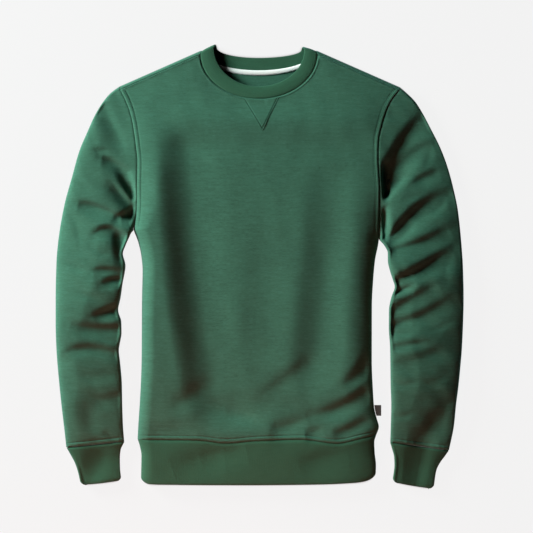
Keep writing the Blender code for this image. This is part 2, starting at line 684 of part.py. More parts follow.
def front_surface(rows, columns):
    """Outer points of the front panel and the directions in which its wall is measured."""
    x, y, left, right = plan_grid(rows, columns)
    y = raised_to_yoke(y, left, right, rows, columns, front_top(columns)[1])
    edge_x, edge_y = front_top(front_columns())
    from_top = nearest_on_line(edge_x, edge_y, x, y)[0]
    low = NECK_SEAM.top + neck_crown(x)
    high = read_line(FRONT_HEIGHT, y.ravel()).reshape(y.shape)
    middle = low + (high - low) * rise(from_top / TOP_FALL, 0.0)
    sides = smooth_through([r.row for r in FRONT_SIDES], [r[1:] for r in FRONT_SIDES], rows)
    roundness, round_left, round_right = (sides[:, k : k + 1] for k in range(3))
    edge = armhole_heights(rows - 1)[:, :1]
    from_left, from_right = x - left[:, :1], right[:, :1] - x
    fall = (middle - edge) * (
        2 - rise(from_left / round_left, roundness) - rise(from_right / round_right, roundness)
    )
    base = middle - fall
    free = (
        ease(from_left / BODY_EDGE_FREE_OF_FOLDS)
        * ease(from_right / BODY_EDGE_FREE_OF_FOLDS)
    )
    z = pressed(base, fold_depth(BODY_FOLDS, x, y, BODY_STEP) * free)

    facing = panel_facing(x, np.gradient(fall, axis=1), rows, 1)
    facing[-1] = (0, 0, 1)
    outer = np.stack([x, y, z], axis=2)
    return outer, facing


def make_front(material):
    rows, columns = body_rows(), front_columns()
    outer, facing = front_surface(rows, columns)
    outer[0, :, 1] += SEAM_GAP / 2
    low = rows <= 1
    for j in (0, -1):
        outer[low, j, 2] = SIDE_SEAM_Z + SEAM_GAP / 2
    inner = outer - facing * FLEECE
    return wall_solid("front_panel", outer, inner, False, material)


def back_columns():
    """Shares of the width of the back, close together at its edges and the neck's corners."""
    left, right = corner_shares()
    edge = corner_steps(BACK_CORNER)
    left_wrap, back, right_wrap = wrap_columns()
    return np.concatenate([
        edge, np.linspace(edge[-1], left_wrap[0], LEFT_COLUMNS)[1:-1], left_wrap,
        back[1:-1], right_wrap,
        np.linspace(right_wrap[-1], 1 - edge[-1], LEFT_COLUMNS)[1:-1], 1 - edge[::-1],
    ])


def wrap_columns():
    """Shares of the width at the neck ring's points on the left fold, back and right fold."""
    rings = neck_ring(NECK_SEAM, SEAM_GAP)
    width = TIP_RIGHT[0] - TIP_LEFT[0]
    right, back, left = (ring[:, 0] for ring in rings[1:4])
    return tuple((x - TIP_LEFT[0]) / width for x in (left[::-1], back[::-1], right[::-1]))


def back_top(columns):
    """For each column, the y at which its last stretch starts, and how far it wraps up."""
    left_wrap, back, right_wrap = wrap_columns()
    rings = neck_ring(NECK_SEAM, SEAM_GAP)
    x = TIP_LEFT[0] + (TIP_RIGHT[0] - TIP_LEFT[0]) * columns
    turns = np.linspace(90, -90, WRAP_ROWS + 1)
    key = np.concatenate([left_wrap, back[1:-1], right_wrap])
    turn_keys = np.concatenate([turns, np.full(len(back) - 2, -90.0), turns[::-1]])
    wrap = np.interp(columns, key, turn_keys)
    neck_y = np.interp(x, rings[2][::-1, 0], rings[2][::-1, 1])
    return x, wrap, neck_y


def make_back(material):
    rows, columns = body_rows(), back_columns()
    x, y, left, right = plan_grid(rows, columns)
    seam_x, wrap, neck_y = back_top(columns)
    flat_run = WRAP_FLAT_RUN * (90 - wrap) / 180
    arc_run = WRAP_ARC_RUN * (wrap + 90) / 180
    fold_y = shoulder_y(seam_x)
    on_neck = wrap <= -90 + 1e-6
    last_y = np.where(on_neck, neck_y, fold_y - SHOULDER_FOLD)
    base_y = last_y - flat_run
    y = raised_to_yoke(y, left, right, rows, columns, base_y)

    armhole = armhole_heights(rows - 1)[:, 1:]
    edge = np.where((rows <= 1)[:, None], SIDE_SEAM_Z, armhole)
    near = np.minimum(x - left[:, :1], right[:, :1] - x)
    base = edge * (1 - rise(near / BACK_EDGE_ROUND, 1.0))
    facing = panel_facing(x, np.gradient(base, axis=1), rows, -1)
    outer = np.stack([x, y, base], axis=2)
    for j in (0, -1):
        outer[rows <= 1, j, 2] = SIDE_SEAM_Z - SEAM_GAP / 2
    outer[0, :, 1] += SEAM_GAP / 2

    grid, directions = [outer], [facing]
    for k in range(1, WRAP_ROWS + 1):
        gone = k / WRAP_ROWS * (flat_run + arc_run)
        turned = np.clip((gone - flat_run) / np.maximum(arc_run, 1e-6), 0, 1)
        angle = np.radians(-90 + turned * (wrap + 90))
        flat = np.minimum(gone, flat_run)
        row_y = np.where(
            on_neck, base_y + flat, base_y + flat + SHOULDER_FOLD * np.cos(angle)
        )
        row_z = np.where(on_neck, 0, SHOULDER_FOLD_Z * (1 + np.sin(angle)))
        grid.append(np.stack([seam_x, row_y, row_z], axis=1)[None])
        up = np.where(on_neck, -1, np.sin(angle))
        back = np.where(on_neck, 0, np.cos(angle))
        directions.append(np.stack([0 * up, back, up], axis=1)[None])
    outer, facing = np.concatenate(grid), np.concatenate(directions)
    inner = outer - facing * FLEECE
    return wall_solid("back_panel", outer, inner, False, material)


def hem_columns():
    """Shares of the hem's width: over the top from the left, then back underneath."""
    left = corner_steps(HEM_LEFT_ROUND_SHARE, LEFT_ROUND_COLUMNS)
    right = 1 - corner_steps(HEM_RIGHT_ROUND_SHARE, RIGHT_ROUND_COLUMNS)[::-1]
    flat = np.linspace(left[-1], right[0], HEM_TOP_STEPS + 1)
    edge = corner_steps(BACK_CORNER)[1:]
    return np.concatenate([left, flat[1:-1], right]), np.concatenate([1 - edge, flat[::-1], edge[::-1]])


def make_hem(material):
    columns_top, columns_under = hem_columns()
    table = [(b.left, b.right, b.middle) for b in HEM_BANDS]
    outer, facing = [], []
    for share, (left, right, middle) in zip((b.share for b in HEM_BANDS), table):
        rings = []
        for columns, over in ((columns_top, True), (columns_under, False)):
            x = left + (right - left) * columns
            low = read_line(HEM_EDGE, x)
            high = read_line(HEM_SEAM, x) - SEAM_GAP / 2
            y = high + (low - high) * share
            from_left, from_right = x - left, right - x
            if over:
                base = middle - (middle - SIDE_SEAM_Z) * (
                    2 - rise(from_left / HEM_ROUND_LEFT, 1)
                    - rise(from_right / HEM_ROUND_RIGHT, 1)
                )
                free = (
        ease(from_left / BODY_EDGE_FREE_OF_FOLDS)
        * ease(from_right / BODY_EDGE_FREE_OF_FOLDS)
    )
                z = pressed(base, fold_depth(BODY_FOLDS, x, y, BODY_STEP) * free)
            else:
                near = np.minimum(from_left, from_right)
                base = z = SIDE_SEAM_Z * (1 - rise(near / BACK_EDGE_ROUND, 1))
            rings.append((np.stack([x, y, z], axis=1), base))
        points = np.concatenate([rings[0][0], rings[1][0]])
        base = np.concatenate([rings[0][1], rings[1][1]])
        outer.append(points)
        facing.append(loop_facing(points[:, 0], base))
    outer, facing = np.array(outer), np.array(facing)
    inner = outer - facing * RIB
    last = len(HEM_BANDS) - 1
    return wall_solid("hem_rib", outer, inner, True, material, rounded_rows=(last,))


def loop_facing(across, height):
    """Outward directions of a clockwise loop, in its own upright plane, as x and z."""
    run = np.roll(across, -1) - np.roll(across, 1)
    climb = np.roll(height, -1) - np.roll(height, 1)
    facing = np.stack([-climb, 0 * run, run], axis=1)
    return facing / np.linalg.norm(facing, axis=1)[:, None]


# ---- Sleeves and cuffs ----


def ring_shares():
    """Where a ring's points lie between outer and inner edge: over the top, then back under."""
    over = (1 - np.cos(np.linspace(0, np.pi, SLEEVE_TOP + 1))) / 2
    corner = corner_steps(UNDER_CORNER)[1:]
    flat = np.linspace(1 - corner[-1], corner[-1], SLEEVE_BOTTOM - 1)[1:-1]
    under = np.concatenate([1 - corner, flat, corner[::-1]])
    return over, under


def ring_heights(over, under, width, height):
    """Heights of a ring: a full round over the top, and flat on the floor underneath."""
    across = np.clip(np.abs(2 * over - 1), 0, 1)
    full = (1 - across**SLEEVE_FULLNESS) ** (1 / SLEEVE_FULLNESS)
    top = SIDE_SEAM_Z + (height - SIDE_SEAM_Z) * full
    near = np.minimum(under, 1 - under) * width
    return top, SIDE_SEAM_Z * (1 - rise(near / BACK_EDGE_ROUND, 1))


def armhole_ring(outer_tip, armhole):
    """Plan points and heights of the sleeve's first ring, along the edges of the two panels."""
    shares = np.linspace(0, 1, ARMHOLE_ROWS + 1)
    line = along(armhole, shares)
    front, back = armhole_heights(shares).T
    x, y = outer_tip
    half = SHOULDER_FOLD * (1 - np.cos(np.pi / 4))
    z_up, z_down = (SHOULDER_FOLD_Z * (1 + s * np.sin(np.pi / 4)) for s in (1, -1))
    over = [(x, y, SHOULDER_FOLD_Z), (x, y - half, z_up)]
    over += [(*line[k], front[k]) for k in range(ARMHOLE_ROWS, -1, -1)]
    under = [(*line[k], back[k]) for k in range(1, ARMHOLE_ROWS)]
    under += [(x, y - SHOULDER_FOLD, 0), (x, y - half, z_down)]
    return np.array(over + under)


def tube_plan(sections, rings, armhole):
    """A sleeve's or cuff's rings before the folds: plan points, heights and wall directions."""
    at = np.linspace(0, len(sections) - 1, rings + 1)
    table = smooth_through(np.arange(len(sections)), sections, at)
    over, under = ring_shares()
    shares = np.concatenate([over, under])
    start, end = table[:, None, 0:2], table[:, None, 2:4]
    place = np.repeat(shares[None], len(at), axis=0)
    settled = np.ones((len(at), 1))
    first = bulge = 0
    if armhole:
        settled = ease(at / FAN_SECTIONS)[:, None]
        tip, chord = start[0, 0], end[0, 0] - start[0, 0]
        ring = armhole_ring(tip, armhole)
        first_shares = ((ring[:, :2] - tip) @ chord) / (chord @ chord)
        bulge = ring[:, :2] - (tip + first_shares[:, None] * chord)
        place = first_shares + (shares - first_shares) * settled
        first = ring[:, 2]
    width = np.linalg.norm(end - start, axis=2)
    height = table[:, 4:5]
    count = len(over)
    base = np.concatenate(
        ring_heights(place[:, :count], place[:, count:], width, height), axis=1
    )
    base = first + (base - first) * settled
    plan = start + place[..., None] * (end - start) + bulge * (1 - settled)[..., None]
    if armhole:
        plan[..., 0] += np.sign(tip[0]) * ARMHOLE_GAP * (1 - settled)
    toward = (end - start) / width[..., None]
    facing = np.empty(place.shape + (3,))
    for i in range(len(at)):
        across = loop_facing(place[i] * width[i], base[i])
        if armhole and i == 0:
            across = first_facing(count, len(shares))
        facing[i] = np.column_stack([across[:, :1] * toward[i], across[:, 2]])
    from_edge = np.minimum(place, 1 - place) * width
    free = ease(from_edge / SLEEVE_EDGE_FREE_OF_FOLDS)
    free[:, count:] = 0
    if armhole:
        line_x, line_y = along(armhole, np.linspace(0, 1, ARMHOLE_ROWS + 1)).T
        from_seam = nearest_on_line(line_x, line_y, plan[..., 0], plan[..., 1])[0]
        free = free * ease(from_seam / SEAM_FREE_OF_FOLDS)
    return plan, base, facing, free


def make_tube(name, sections, rings, folds, wall, material, armhole=None, rounded=()):
    """A sleeve or cuff through its sections. armhole gives the first ring of a sleeve."""
    plan, base, facing, free = tube_plan(np.array(sections, float), rings, armhole)
    x, y = plan[..., 0], plan[..., 1]
    z = pressed(base, fold_depth(folds, x, y, steps_between(x, y)) * free)
    outer = np.dstack([x, y, np.where(free > 0, z, base)])
    inner = outer - facing * wall
    return wall_solid(name, outer, inner, True, material, rounded_rows=rounded)


def first_facing(top_count, count):
    """The wall's directions at the armhole, matched to the edges of the panels."""
    facing = np.zeros((count, 3))
    facing[:top_count, 2] = 1
    facing[top_count:, 2] = -1
    slant = 0.5**0.5
    facing[0] = (-1, 0, 0)
    facing[1] = (-slant, 0, slant)
    facing[-1] = (-slant, 0, -slant)
    facing[top_count - 1] = (1, 0, 0)
    return facing


# ---- Small pieces ----


def make_insert(material):
    """The V insert lies on the front panel: its points are the panel's, moved out."""
    steps = np.linspace(0, 1, INSERT_STEPS + 1)
    across = np.linspace(0, 1, INSERT_STEPS + 1)
    grid = []
    for step in steps:
        row = np.array([INSERT_TOP_ROW + (INSERT_APEX_ROW - INSERT_TOP_ROW) * step, 2.0])
        left = INSERT_LEFT + (INSERT_APEX - INSERT_TIP - INSERT_LEFT) * step
        right = INSERT_RIGHT + (INSERT_APEX + INSERT_TIP - INSERT_RIGHT) * step
        columns = np.concatenate([[0], left + (right - left) * across, [1]])
        grid.append(front_surface(row, columns)[0][0, 1:-1])
    under = np.array(grid) + np.array([0, 0, INSERT_LIFT])
    return wall_solid(
        "v_insert", under + np.array([0, 0, INSERT_THICKNESS]), under, False, material
    )


def make_label(material):
    y = np.linspace(LABEL_HIGH, LABEL_LOW, 4)
    side = along(SIDE_RIGHT, np.linspace(0, 1, 60))
    x = np.interp(y, side[:, 1], side[:, 0]) + LABEL_GAP
    reach = x.mean() + LABEL_REACH
    x_rows = np.stack([x, (x + reach) / 2, np.full_like(x, reach)])
    under = np.stack(
        [x_rows, np.broadcast_to(y, x_rows.shape), np.full_like(x_rows, SIDE_SEAM_Z)], axis=2
    )
    under[..., 2] -= LABEL_THICKNESS / 2
    return wall_solid(
        "side_label", under + np.array([0, 0, LABEL_THICKNESS]), under, False, material
    )


def main():
    clear_scene()
    fleece = cloth_material("fleece", FLEECE_GREEN, 0.9)
    rib = cloth_material("rib_knit", RIB_GREEN, 0.9)
    make_front(fleece)
    make_back(fleece)
    make_insert(fleece)
    for name, sections, folds, armhole in (
        ("sleeve_r", SLEEVE_RIGHT_ARM, SLEEVE_FOLDS_RIGHT_ARM, ARMHOLE_LEFT),
        ("sleeve_l", SLEEVE_LEFT_ARM, SLEEVE_FOLDS_LEFT_ARM, ARMHOLE_RIGHT),
    ):
        rings = RINGS_PER_SECTION * (len(sections) - 1)
        make_tube(name, sections, rings, folds, FLEECE, fleece, armhole)
    for name, sections, folds in (
        ("cuff_r", CUFF_RIGHT_ARM, SLEEVE_FOLDS_RIGHT_ARM),
        ("cuff_l", CUFF_LEFT_ARM, SLEEVE_FOLDS_LEFT_ARM),
    ):
        last = len(sections) - 1
        make_tube(name, sections, last, folds, RIB, rib, rounded=(last,))
    make_hem(rib)
    make_collar(rib)
    make_tape(cloth_material("neck_tape", TAPE_WHITE, 0.8))
    make_label(cloth_material("side_label", LABEL_GREY, 0.7))


main()
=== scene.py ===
# %% [markdown]
# # A crewneck sweatshirt laid out on its back
#
# A sweatshirt is sewn from a few flat pieces of knit: a front, a back, two sleeves, and bands
# of rib for the collar, cuffs and hem. Here each piece is its own sheet with a real wall, cut
# and joined where a maker would, so every seam is a true gap between two pieces of cloth.
#
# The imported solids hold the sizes. The sheets follow the same sections at a finer step, which
# leaves room for folds, rib and stitches.

# %% Load the solids
from collections import namedtuple

import bmesh
import bpy
import numpy as np
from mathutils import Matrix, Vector


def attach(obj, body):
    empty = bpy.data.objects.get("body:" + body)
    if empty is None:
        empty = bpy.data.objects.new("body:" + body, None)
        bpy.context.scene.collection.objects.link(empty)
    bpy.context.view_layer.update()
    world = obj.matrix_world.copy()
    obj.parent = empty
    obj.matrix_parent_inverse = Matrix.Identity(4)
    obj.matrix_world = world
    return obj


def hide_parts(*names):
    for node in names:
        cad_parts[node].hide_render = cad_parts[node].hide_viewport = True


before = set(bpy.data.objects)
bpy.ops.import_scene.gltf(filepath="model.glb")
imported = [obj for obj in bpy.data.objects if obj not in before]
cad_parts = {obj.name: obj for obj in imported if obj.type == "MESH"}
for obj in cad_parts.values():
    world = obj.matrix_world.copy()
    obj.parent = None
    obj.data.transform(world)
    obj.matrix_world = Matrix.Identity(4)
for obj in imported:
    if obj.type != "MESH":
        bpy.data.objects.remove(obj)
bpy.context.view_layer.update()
MM = 0.001

# %% [markdown]
# ## Reading a table smoothly
#
# An outline or a section table has only the points that the shape needs. A cubic runs through
# them that never overshoots, as a flexible ruler would, so twenty rows give a smooth edge at
# any step. Straight lines would leave corners, and a common spline would bulge between rows.

# %% Smooth tables
def smooth_through(keys, rows, at):
    """Rows of a table read between its keys, on a cubic that never overshoots."""
    keys = np.asarray(keys, float)
    rows = np.asarray(rows, float)
    at = np.clip(np.asarray(at, float), keys[0], keys[-1])
    step = np.diff(keys)[:, None]
    slope = np.diff(rows, axis=0) / step
    tangent = np.zeros_like(rows)
    same_way = slope[1:] * slope[:-1] > 0
    before = step[:-1] + 2 * step[1:]
    after = 2 * step[:-1] + step[1:]
    with np.errstate(divide="ignore", invalid="ignore"):
        mean = (before + after) / (before / slope[:-1] + after / slope[1:])
    tangent[1:-1] = np.where(same_way, mean, 0)
    tangent[0], tangent[-1] = slope[0], slope[-1]
    i = np.clip(np.searchsorted(keys, at, side="right") - 1, 0, len(keys) - 2)
    t = ((at - keys[i]) / step[i, 0])[:, None]
    return (
        (2 * t**3 - 3 * t**2 + 1) * rows[i]
        + (t**3 - 2 * t**2 + t) * step[i] * tangent[i]
        + (3 * t**2 - 2 * t**3) * rows[i + 1]
        + (t**3 - t**2) * step[i] * tangent[i + 1]
    )


def along(points, shares):
    """Points at shares of the length of a smooth outline."""
    points = np.asarray(points, float)
    lengths = np.hypot(*np.diff(points, axis=0).T)
    keys = np.concatenate([[0], np.cumsum(lengths)]) / lengths.sum()
    return smooth_through(keys, points, shares)


def read_line(points, x):
    """The height y of a smooth line at each x, for an array of any shape."""
    points = np.asarray(points, float)
    flat = smooth_through(points[:, 0], points[:, 1:], np.ravel(x))[:, 0]
    return flat.reshape(np.shape(x))


def ease(t):
    """A step from 0 to 1 that starts and ends softly, for t from 0 to 1."""
    t = np.clip(t, 0, 1)
    return t * t * (3 - 2 * t)


def crowded(steps, crowding):
    """Shares from 0 to 1 that lie closer together at both ends."""
    t = np.linspace(0, 1, steps + 1)
    return t - crowding * np.sin(2 * np.pi * t)


def corner_steps(width, steps):
    """Shares from 0 to width that start close together, where an edge turns up."""
    return width * (1 - np.cos(np.linspace(0, np.pi / 2, steps + 1)))


print("halfway along a quarter bend:", along([(0, 0), (3, 1), (4, 4)], [0.5])[0].round(2))

# %% [markdown]
# ## Folds from tables
#
# A fold in laid-out fleece is a soft trough with a steeper side, and it dies out at its ends.
# Each row of a fold table is one such trough: a line through three points, a width on its left
# and on its right, and a depth at its start, middle and end. A simulation would give folds too,
# but not these ones in these places.
#
# `pressed` keeps the cloth off the layer below it, however many folds meet.

# %% Folds
Fold = namedtuple("Fold", "x0 y0 xm ym x1 y1 left right start middle end")
CURVE_POINTS = 13


def nearest_on_line(line_x, line_y, x, y):
    """Distance to a line of points, the share along it, and the side, 1 left to -1 right."""
    nearest = np.full(np.shape(x), 1e9)
    place, side = np.zeros_like(nearest), np.zeros_like(nearest)
    spans = len(line_x) - 1
    for k in range(spans):
        run_x, run_y = line_x[k + 1] - line_x[k], line_y[k + 1] - line_y[k]
        length = np.hypot(run_x, run_y)
        off_x, off_y = x - line_x[k], y - line_y[k]
        share = np.clip((off_x * run_x + off_y * run_y) / length**2, 0, 1)
        distance = np.hypot(off_x - share * run_x, off_y - share * run_y)
        closer = distance < nearest
        cross = (run_x * off_y - run_y * off_x) / length
        side = np.where(closer, cross / np.maximum(distance, 1e-6), side)
        place = np.where(closer, (k + share) / spans, place)
        nearest = np.where(closer, distance, nearest)
    return nearest, place, np.clip(side, -1, 1)


def through_three(start, middle, end, t):
    """A value that passes start, middle and end at t of 0, a half and 1."""
    return start * (1 - t) * (1 - 2 * t) + middle * 4 * t * (1 - t) + end * t * (2 * t - 1)


def nearest_on_curve(row, x, y):
    """The same as nearest_on_line, for the curve through a table row's three points."""
    t = np.linspace(0, 1, CURVE_POINTS)
    line_x = through_three(row.x0, row.xm, row.x1, t)
    line_y = through_three(row.y0, row.ym, row.y1, t)
    return nearest_on_line(line_x, line_y, x, y)


def fold_depth(folds, x, y):
    """How deep the folds press at each plan point, in millimetres."""
    depth = np.zeros(np.shape(x))
    for fold in folds:
        nearest, place, side = nearest_on_curve(fold, x, y)
        width = ((1 + side) * fold.left + (1 - side) * fold.right) / 2
        strength = through_three(fold.start, fold.middle, fold.end, place)
        depth += strength * np.exp(-((nearest / width) ** 2))
    return depth


def pressed(base, depth, lowest):
    """Height after the folds, which never press the cloth below lowest."""
    room = np.maximum(base - lowest, 0.5)
    return base - room * np.tanh(depth / room)


def ripple(x, y, seed, waves, length, slant):
    """Soft uneven ripples: a few plane waves of about one length, near one direction."""
    random = np.random.default_rng(seed)
    total = np.zeros(np.shape(x))
    for _ in range(waves):
        turn = slant + random.normal(0, 0.45)
        scale = 2 * np.pi / (length * random.uniform(0.7, 1.5))
        phase = random.uniform(0, 2 * np.pi)
        total += np.sin(scale * (x * np.cos(turn) + y * np.sin(turn)) + phase)
    return total / np.sqrt(waves)


sample_fold = Fold(0, 0, 5, 0, 10, 0, 2, 2, 5, 5, 5)
print("a fold of depth 5 at its middle:", fold_depth([sample_fold], 5.0, 0.0))

# %% [markdown]
# ## From a grid of points to cloth
#
# Every piece is worked out as a grid: rows along it and columns across or round it. The grid
# becomes quads, its map holds millimetres of cloth, so a knit pattern keeps its true scale, and
# Solidify gives the sheet its wall on the inner side. The map is laid along the cloth's own
# rows, so the knit turns with a sleeve as the real one does.

# %% Cloth from grids
FLEECE, RIB = 2.2, 3.0
SHARPEST_SMOOTH_TURN = 65


def cloth_lengths(points, around):
    """How far each grid point lies along its row and along its column, measured on the cloth."""
    closed = np.concatenate([points, points[:, :1]], axis=1) if around else points
    across = np.linalg.norm(np.diff(closed, axis=1), axis=2)
    down = np.linalg.norm(np.diff(closed, axis=0), axis=2)
    u = np.concatenate([np.zeros((len(points), 1)), np.cumsum(across, axis=1)], axis=1)
    v = np.concatenate([np.zeros((1, closed.shape[1])), np.cumsum(down, axis=0)], axis=0)
    return u, v


def plan_map(points):
    """A map that is the plan of the cloth, for a panel that lies nearly flat."""
    return points[..., 0], points[..., 1]


def select_only(obj):
    """Makes one object the whole selection, so that an operator works on it alone."""
    bpy.ops.object.select_all(action="DESELECT")
    obj.select_set(True)
    bpy.context.view_layer.objects.active = obj


def grid_normals(points, around):
    """Unit normals of a grid, turned so that its highest point faces up."""
    if around:
        across = np.roll(points, -1, axis=1) - np.roll(points, 1, axis=1)
    else:
        across = np.gradient(points, axis=1)
    normals = np.cross(across, np.gradient(points, axis=0))
    normals /= np.maximum(np.linalg.norm(normals, axis=2), 1e-9)[..., None]
    highest = np.unravel_index(np.argmax(points[..., 2]), points.shape[:2])
    return normals * (1 if normals[highest][2] > 0 else -1)


def cloth(name, points, around, wall, flat_map=None):
    """A sheet of cloth from a grid of points in millimetres, its outer side on the grid."""
    rows, columns = points.shape[:2]
    number = np.arange(rows * columns).reshape(rows, columns)
    if around:
        number = np.concatenate([number, number[:, :1]], axis=1)
    u, v = flat_map if flat_map is not None else cloth_lengths(points, around)
    spans = number.shape[1] - 1
    corners = [(0, 0), (0, 1), (1, 1), (1, 0)]

    # The faces are wound so that the highest of them looks up, which is outward.
    highest = np.unravel_index(np.argmax(points[:-1, :spans, 2]), (rows - 1, spans))
    cell = [points[highest[0] + i, (highest[1] + j) % columns] for i, j in corners]
    if np.cross(cell[2] - cell[0], cell[3] - cell[1])[2] < 0:
        corners = corners[::-1]

    def at_corners(grid):
        return np.stack([grid[i : rows - 1 + i, j : spans + j] for i, j in corners], axis=-1)

    mesh = bpy.data.meshes.new(name)
    faces = at_corners(number).reshape(-1, 4).tolist()
    mesh.from_pydata((points.reshape(-1, 3) * MM).tolist(), [], faces)
    layer = mesh.uv_layers.new(name="cloth")
    layer.data.foreach_set("uv", (np.stack([at_corners(u), at_corners(v)], axis=-1) * MM).ravel())
    obj = bpy.data.objects.new(name, mesh)
    bpy.context.scene.collection.objects.link(obj)
    area = sum(face.area for face in mesh.polygons)
    select_only(obj)
    solid = obj.modifiers.new("wall", "SOLIDIFY")
    solid.thickness = wall * MM
    solid.offset = -1
    bpy.ops.object.modifier_apply(modifier=solid.name)
    obj.data.shade_smooth()
    obj.data.set_sharp_from_angle(angle=np.radians(SHARPEST_SMOOTH_TURN))
    print(name, "has", len(obj.data.polygons), "faces and", round(area, 4), "square metres of cloth")
    return obj


def dress(obj, material, nodes):
    obj.data.materials.clear()
    obj.data.materials.append(material)
    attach(obj, "root")
    if nodes:
        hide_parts(*nodes)


print("cloth walls in millimetres:", FLEECE, RIB)

# %% [markdown]
# ## Knit, as a shader group
#
# Sweatshirt cloth is a fine jersey: upright columns of V-shaped loops about a millimetre wide.
# From a step away only two things show of it, a soft grain that runs across the cloth and a
# faint unevenness of the dye. Both materials use the same effect, so it is a node group with
# its own inputs, built once: a colour, a roughness and a bump from the map in metres.

# %% The knit group
LOOP_WIDTH, LOOP_HEIGHT = 1.15 * MM, 0.95 * MM
STREAK_STRETCH = (1, 7, 1)
# How fine each noise is: about this many spots to a metre of cloth.
FINE_STREAKS, BROAD_STREAKS, FLECKS, CLOUDS, FUZZ = 170.0, 42.0, 900.0, 14.0, 1500.0


class Nodes:
    """Short calls for adding and joining the nodes of one tree."""

    def __init__(self, tree):
        self.tree = tree

    def add(self, kind, inputs=None, **settings):
        """A new node. An input is either a value or the output of another node."""
        node = self.tree.nodes.new(kind)
        for key, value in settings.items():
            setattr(node, key, value)
        for key, value in (inputs or {}).items():
            if isinstance(value, bpy.types.NodeSocket):
                self.tree.links.new(value, node.inputs[key])
            else:
                node.inputs[key].default_value = value
        return node

    def join(self, output, node, label):
        self.tree.links.new(output, node.inputs[label])

    def math(self, operation, *values):
        node = self.add("ShaderNodeMath", dict(enumerate(values)), operation=operation)
        return node.outputs[0]

    def mix(self, share, first, second, blend="MIX"):
        values = {0: share, 6: first, 7: second}
        return self.add("ShaderNodeMix", values, data_type="RGBA", blend_type=blend).outputs[2]

    def noise(self, vector, scale, detail=2.0, roughness=0.5):
        values = {"Vector": vector, "Scale": scale, "Detail": detail, "Roughness": roughness}
        return self.add("ShaderNodeTexNoise", values).outputs[0]

    def spread(self, value, low, high, to_low, to_high):
        values = {0: value, 1: low, 2: high, 3: to_low, 4: to_high}
        return self.add("ShaderNodeMapRange", values, clamp=True).outputs[0]


def new_group(name, inputs, outputs):
    """An empty node group with its sockets: the group, its nodes, its inputs and its end."""
    group = bpy.data.node_groups.new(name, "ShaderNodeTree")
    for label, kind, value in inputs:
        socket = group.interface.new_socket(label, in_out="INPUT", socket_type=kind)
        socket.default_value = value
    for label, kind in outputs:
        group.interface.new_socket(label, in_out="OUTPUT", socket_type=kind)
    nodes = Nodes(group)
    return group, nodes, nodes.add("NodeGroupInput").outputs, nodes.add("NodeGroupOutput")


def build_knit_group():
    """Colour, roughness and height of a knit, from a map in metres."""
    group, nodes, given, result = new_group(
        "knit_cloth",
        [("Colour", "NodeSocketColor", (0.05, 0.16, 0.1, 1)),
         ("Dark yarn", "NodeSocketColor", (0.03, 0.1, 0.06, 1)),
         ("Light yarn", "NodeSocketColor", (0.09, 0.24, 0.17, 1)),
         ("Streaks", "NodeSocketFloat", 0.5),
         ("Loops", "NodeSocketFloat", 0.5)],
        [("Colour", "NodeSocketColor"), ("Roughness", "NodeSocketFloat"),
         ("Height", "NodeSocketFloat")],
    )
    place = nodes.add("ShaderNodeUVMap", uv_map="cloth").outputs[0]
    parts = nodes.add("ShaderNodeSeparateXYZ", {0: place}).outputs
    u, v = parts[0], parts[1]

    # Streaks: noise squeezed along the columns and drawn out along the rows of loops.
    long_way = nodes.add("ShaderNodeMapping", {0: place, "Scale": STREAK_STRETCH}).outputs[0]
    fine = nodes.noise(long_way, FINE_STREAKS, 3.0, 0.7)
    broad = nodes.noise(long_way, BROAD_STREAKS, 2.0, 0.6)
    flecks = nodes.noise(place, FLECKS, 1.0, 0.5)
    cloudy = nodes.noise(place, CLOUDS, 3.0, 0.6)
    grain = nodes.math(
        "ADD", nodes.math("MULTIPLY", fine, 0.65), nodes.math("MULTIPLY", broad, 0.35)
    )
    dark = nodes.math("MULTIPLY", nodes.spread(grain, 0.50, 0.30, 0.0, 1.0), given["Streaks"])
    light = nodes.math("MULTIPLY", nodes.spread(grain, 0.50, 0.72, 0.0, 1.0), given["Streaks"])
    colour = nodes.mix(dark, given["Colour"], given["Dark yarn"])
    colour = nodes.mix(light, colour, given["Light yarn"])
    clouds = nodes.math("ADD", cloudy, nodes.math("MULTIPLY", flecks, 0.6))
    mottle = nodes.spread(clouds, 0.5, 1.1, 0.88, 1.12)
    grey = nodes.add("ShaderNodeCombineColor", {0: mottle, 1: mottle, 2: mottle}).outputs[0]
    colour = nodes.mix(1.0, colour, grey, "MULTIPLY")

    # Loops: two slanted strands a column, as a V, with a groove between the columns.
    column = nodes.math("FRACT", nodes.math("DIVIDE", u, LOOP_WIDTH))
    arm = nodes.math("ABSOLUTE", nodes.math("SUBTRACT", column, 0.5))
    course = nodes.math("SUBTRACT", nodes.math("DIVIDE", v, LOOP_HEIGHT), arm)
    strand = nodes.math("ABSOLUTE", nodes.math("SUBTRACT", nodes.math("FRACT", course), 0.5))
    groove = nodes.math("MULTIPLY", nodes.spread(arm, 0.30, 0.5, 0.0, 1.0), 0.6)
    loops = nodes.math("SUBTRACT", nodes.spread(strand, 0.5, 0.0, 0.0, 1.0), groove)
    fuzz = nodes.noise(place, FUZZ, 2.0, 0.6)
    height = nodes.math(
        "ADD", nodes.math("MULTIPLY", loops, given["Loops"]), nodes.math("MULTIPLY", fuzz, 0.5)
    )
    height = nodes.math("ADD", height, nodes.math("MULTIPLY", grain, 0.6))
    rough = nodes.spread(fuzz, 0.3, 0.7, 0.86, 0.97)
    for label, value in (("Colour", colour), ("Roughness", rough), ("Height", height)):
        nodes.join(value, result, label)
    return group


knit_group = build_knit_group()
print("knit group nodes:", len(knit_group.nodes))

# %% [markdown]
# ## Fleece, rib, tape, tab and thread
#
# The fleece face is matt with short fibres that catch light at a grazing angle, which is what
# the Principled shader's sheen is for. Its tint is a cooler green, because fibre tips reflect
# the light itself more than the dye. Rib is the same yarn, knitted denser and a little darker,
# and the thread is plain dark yarn.

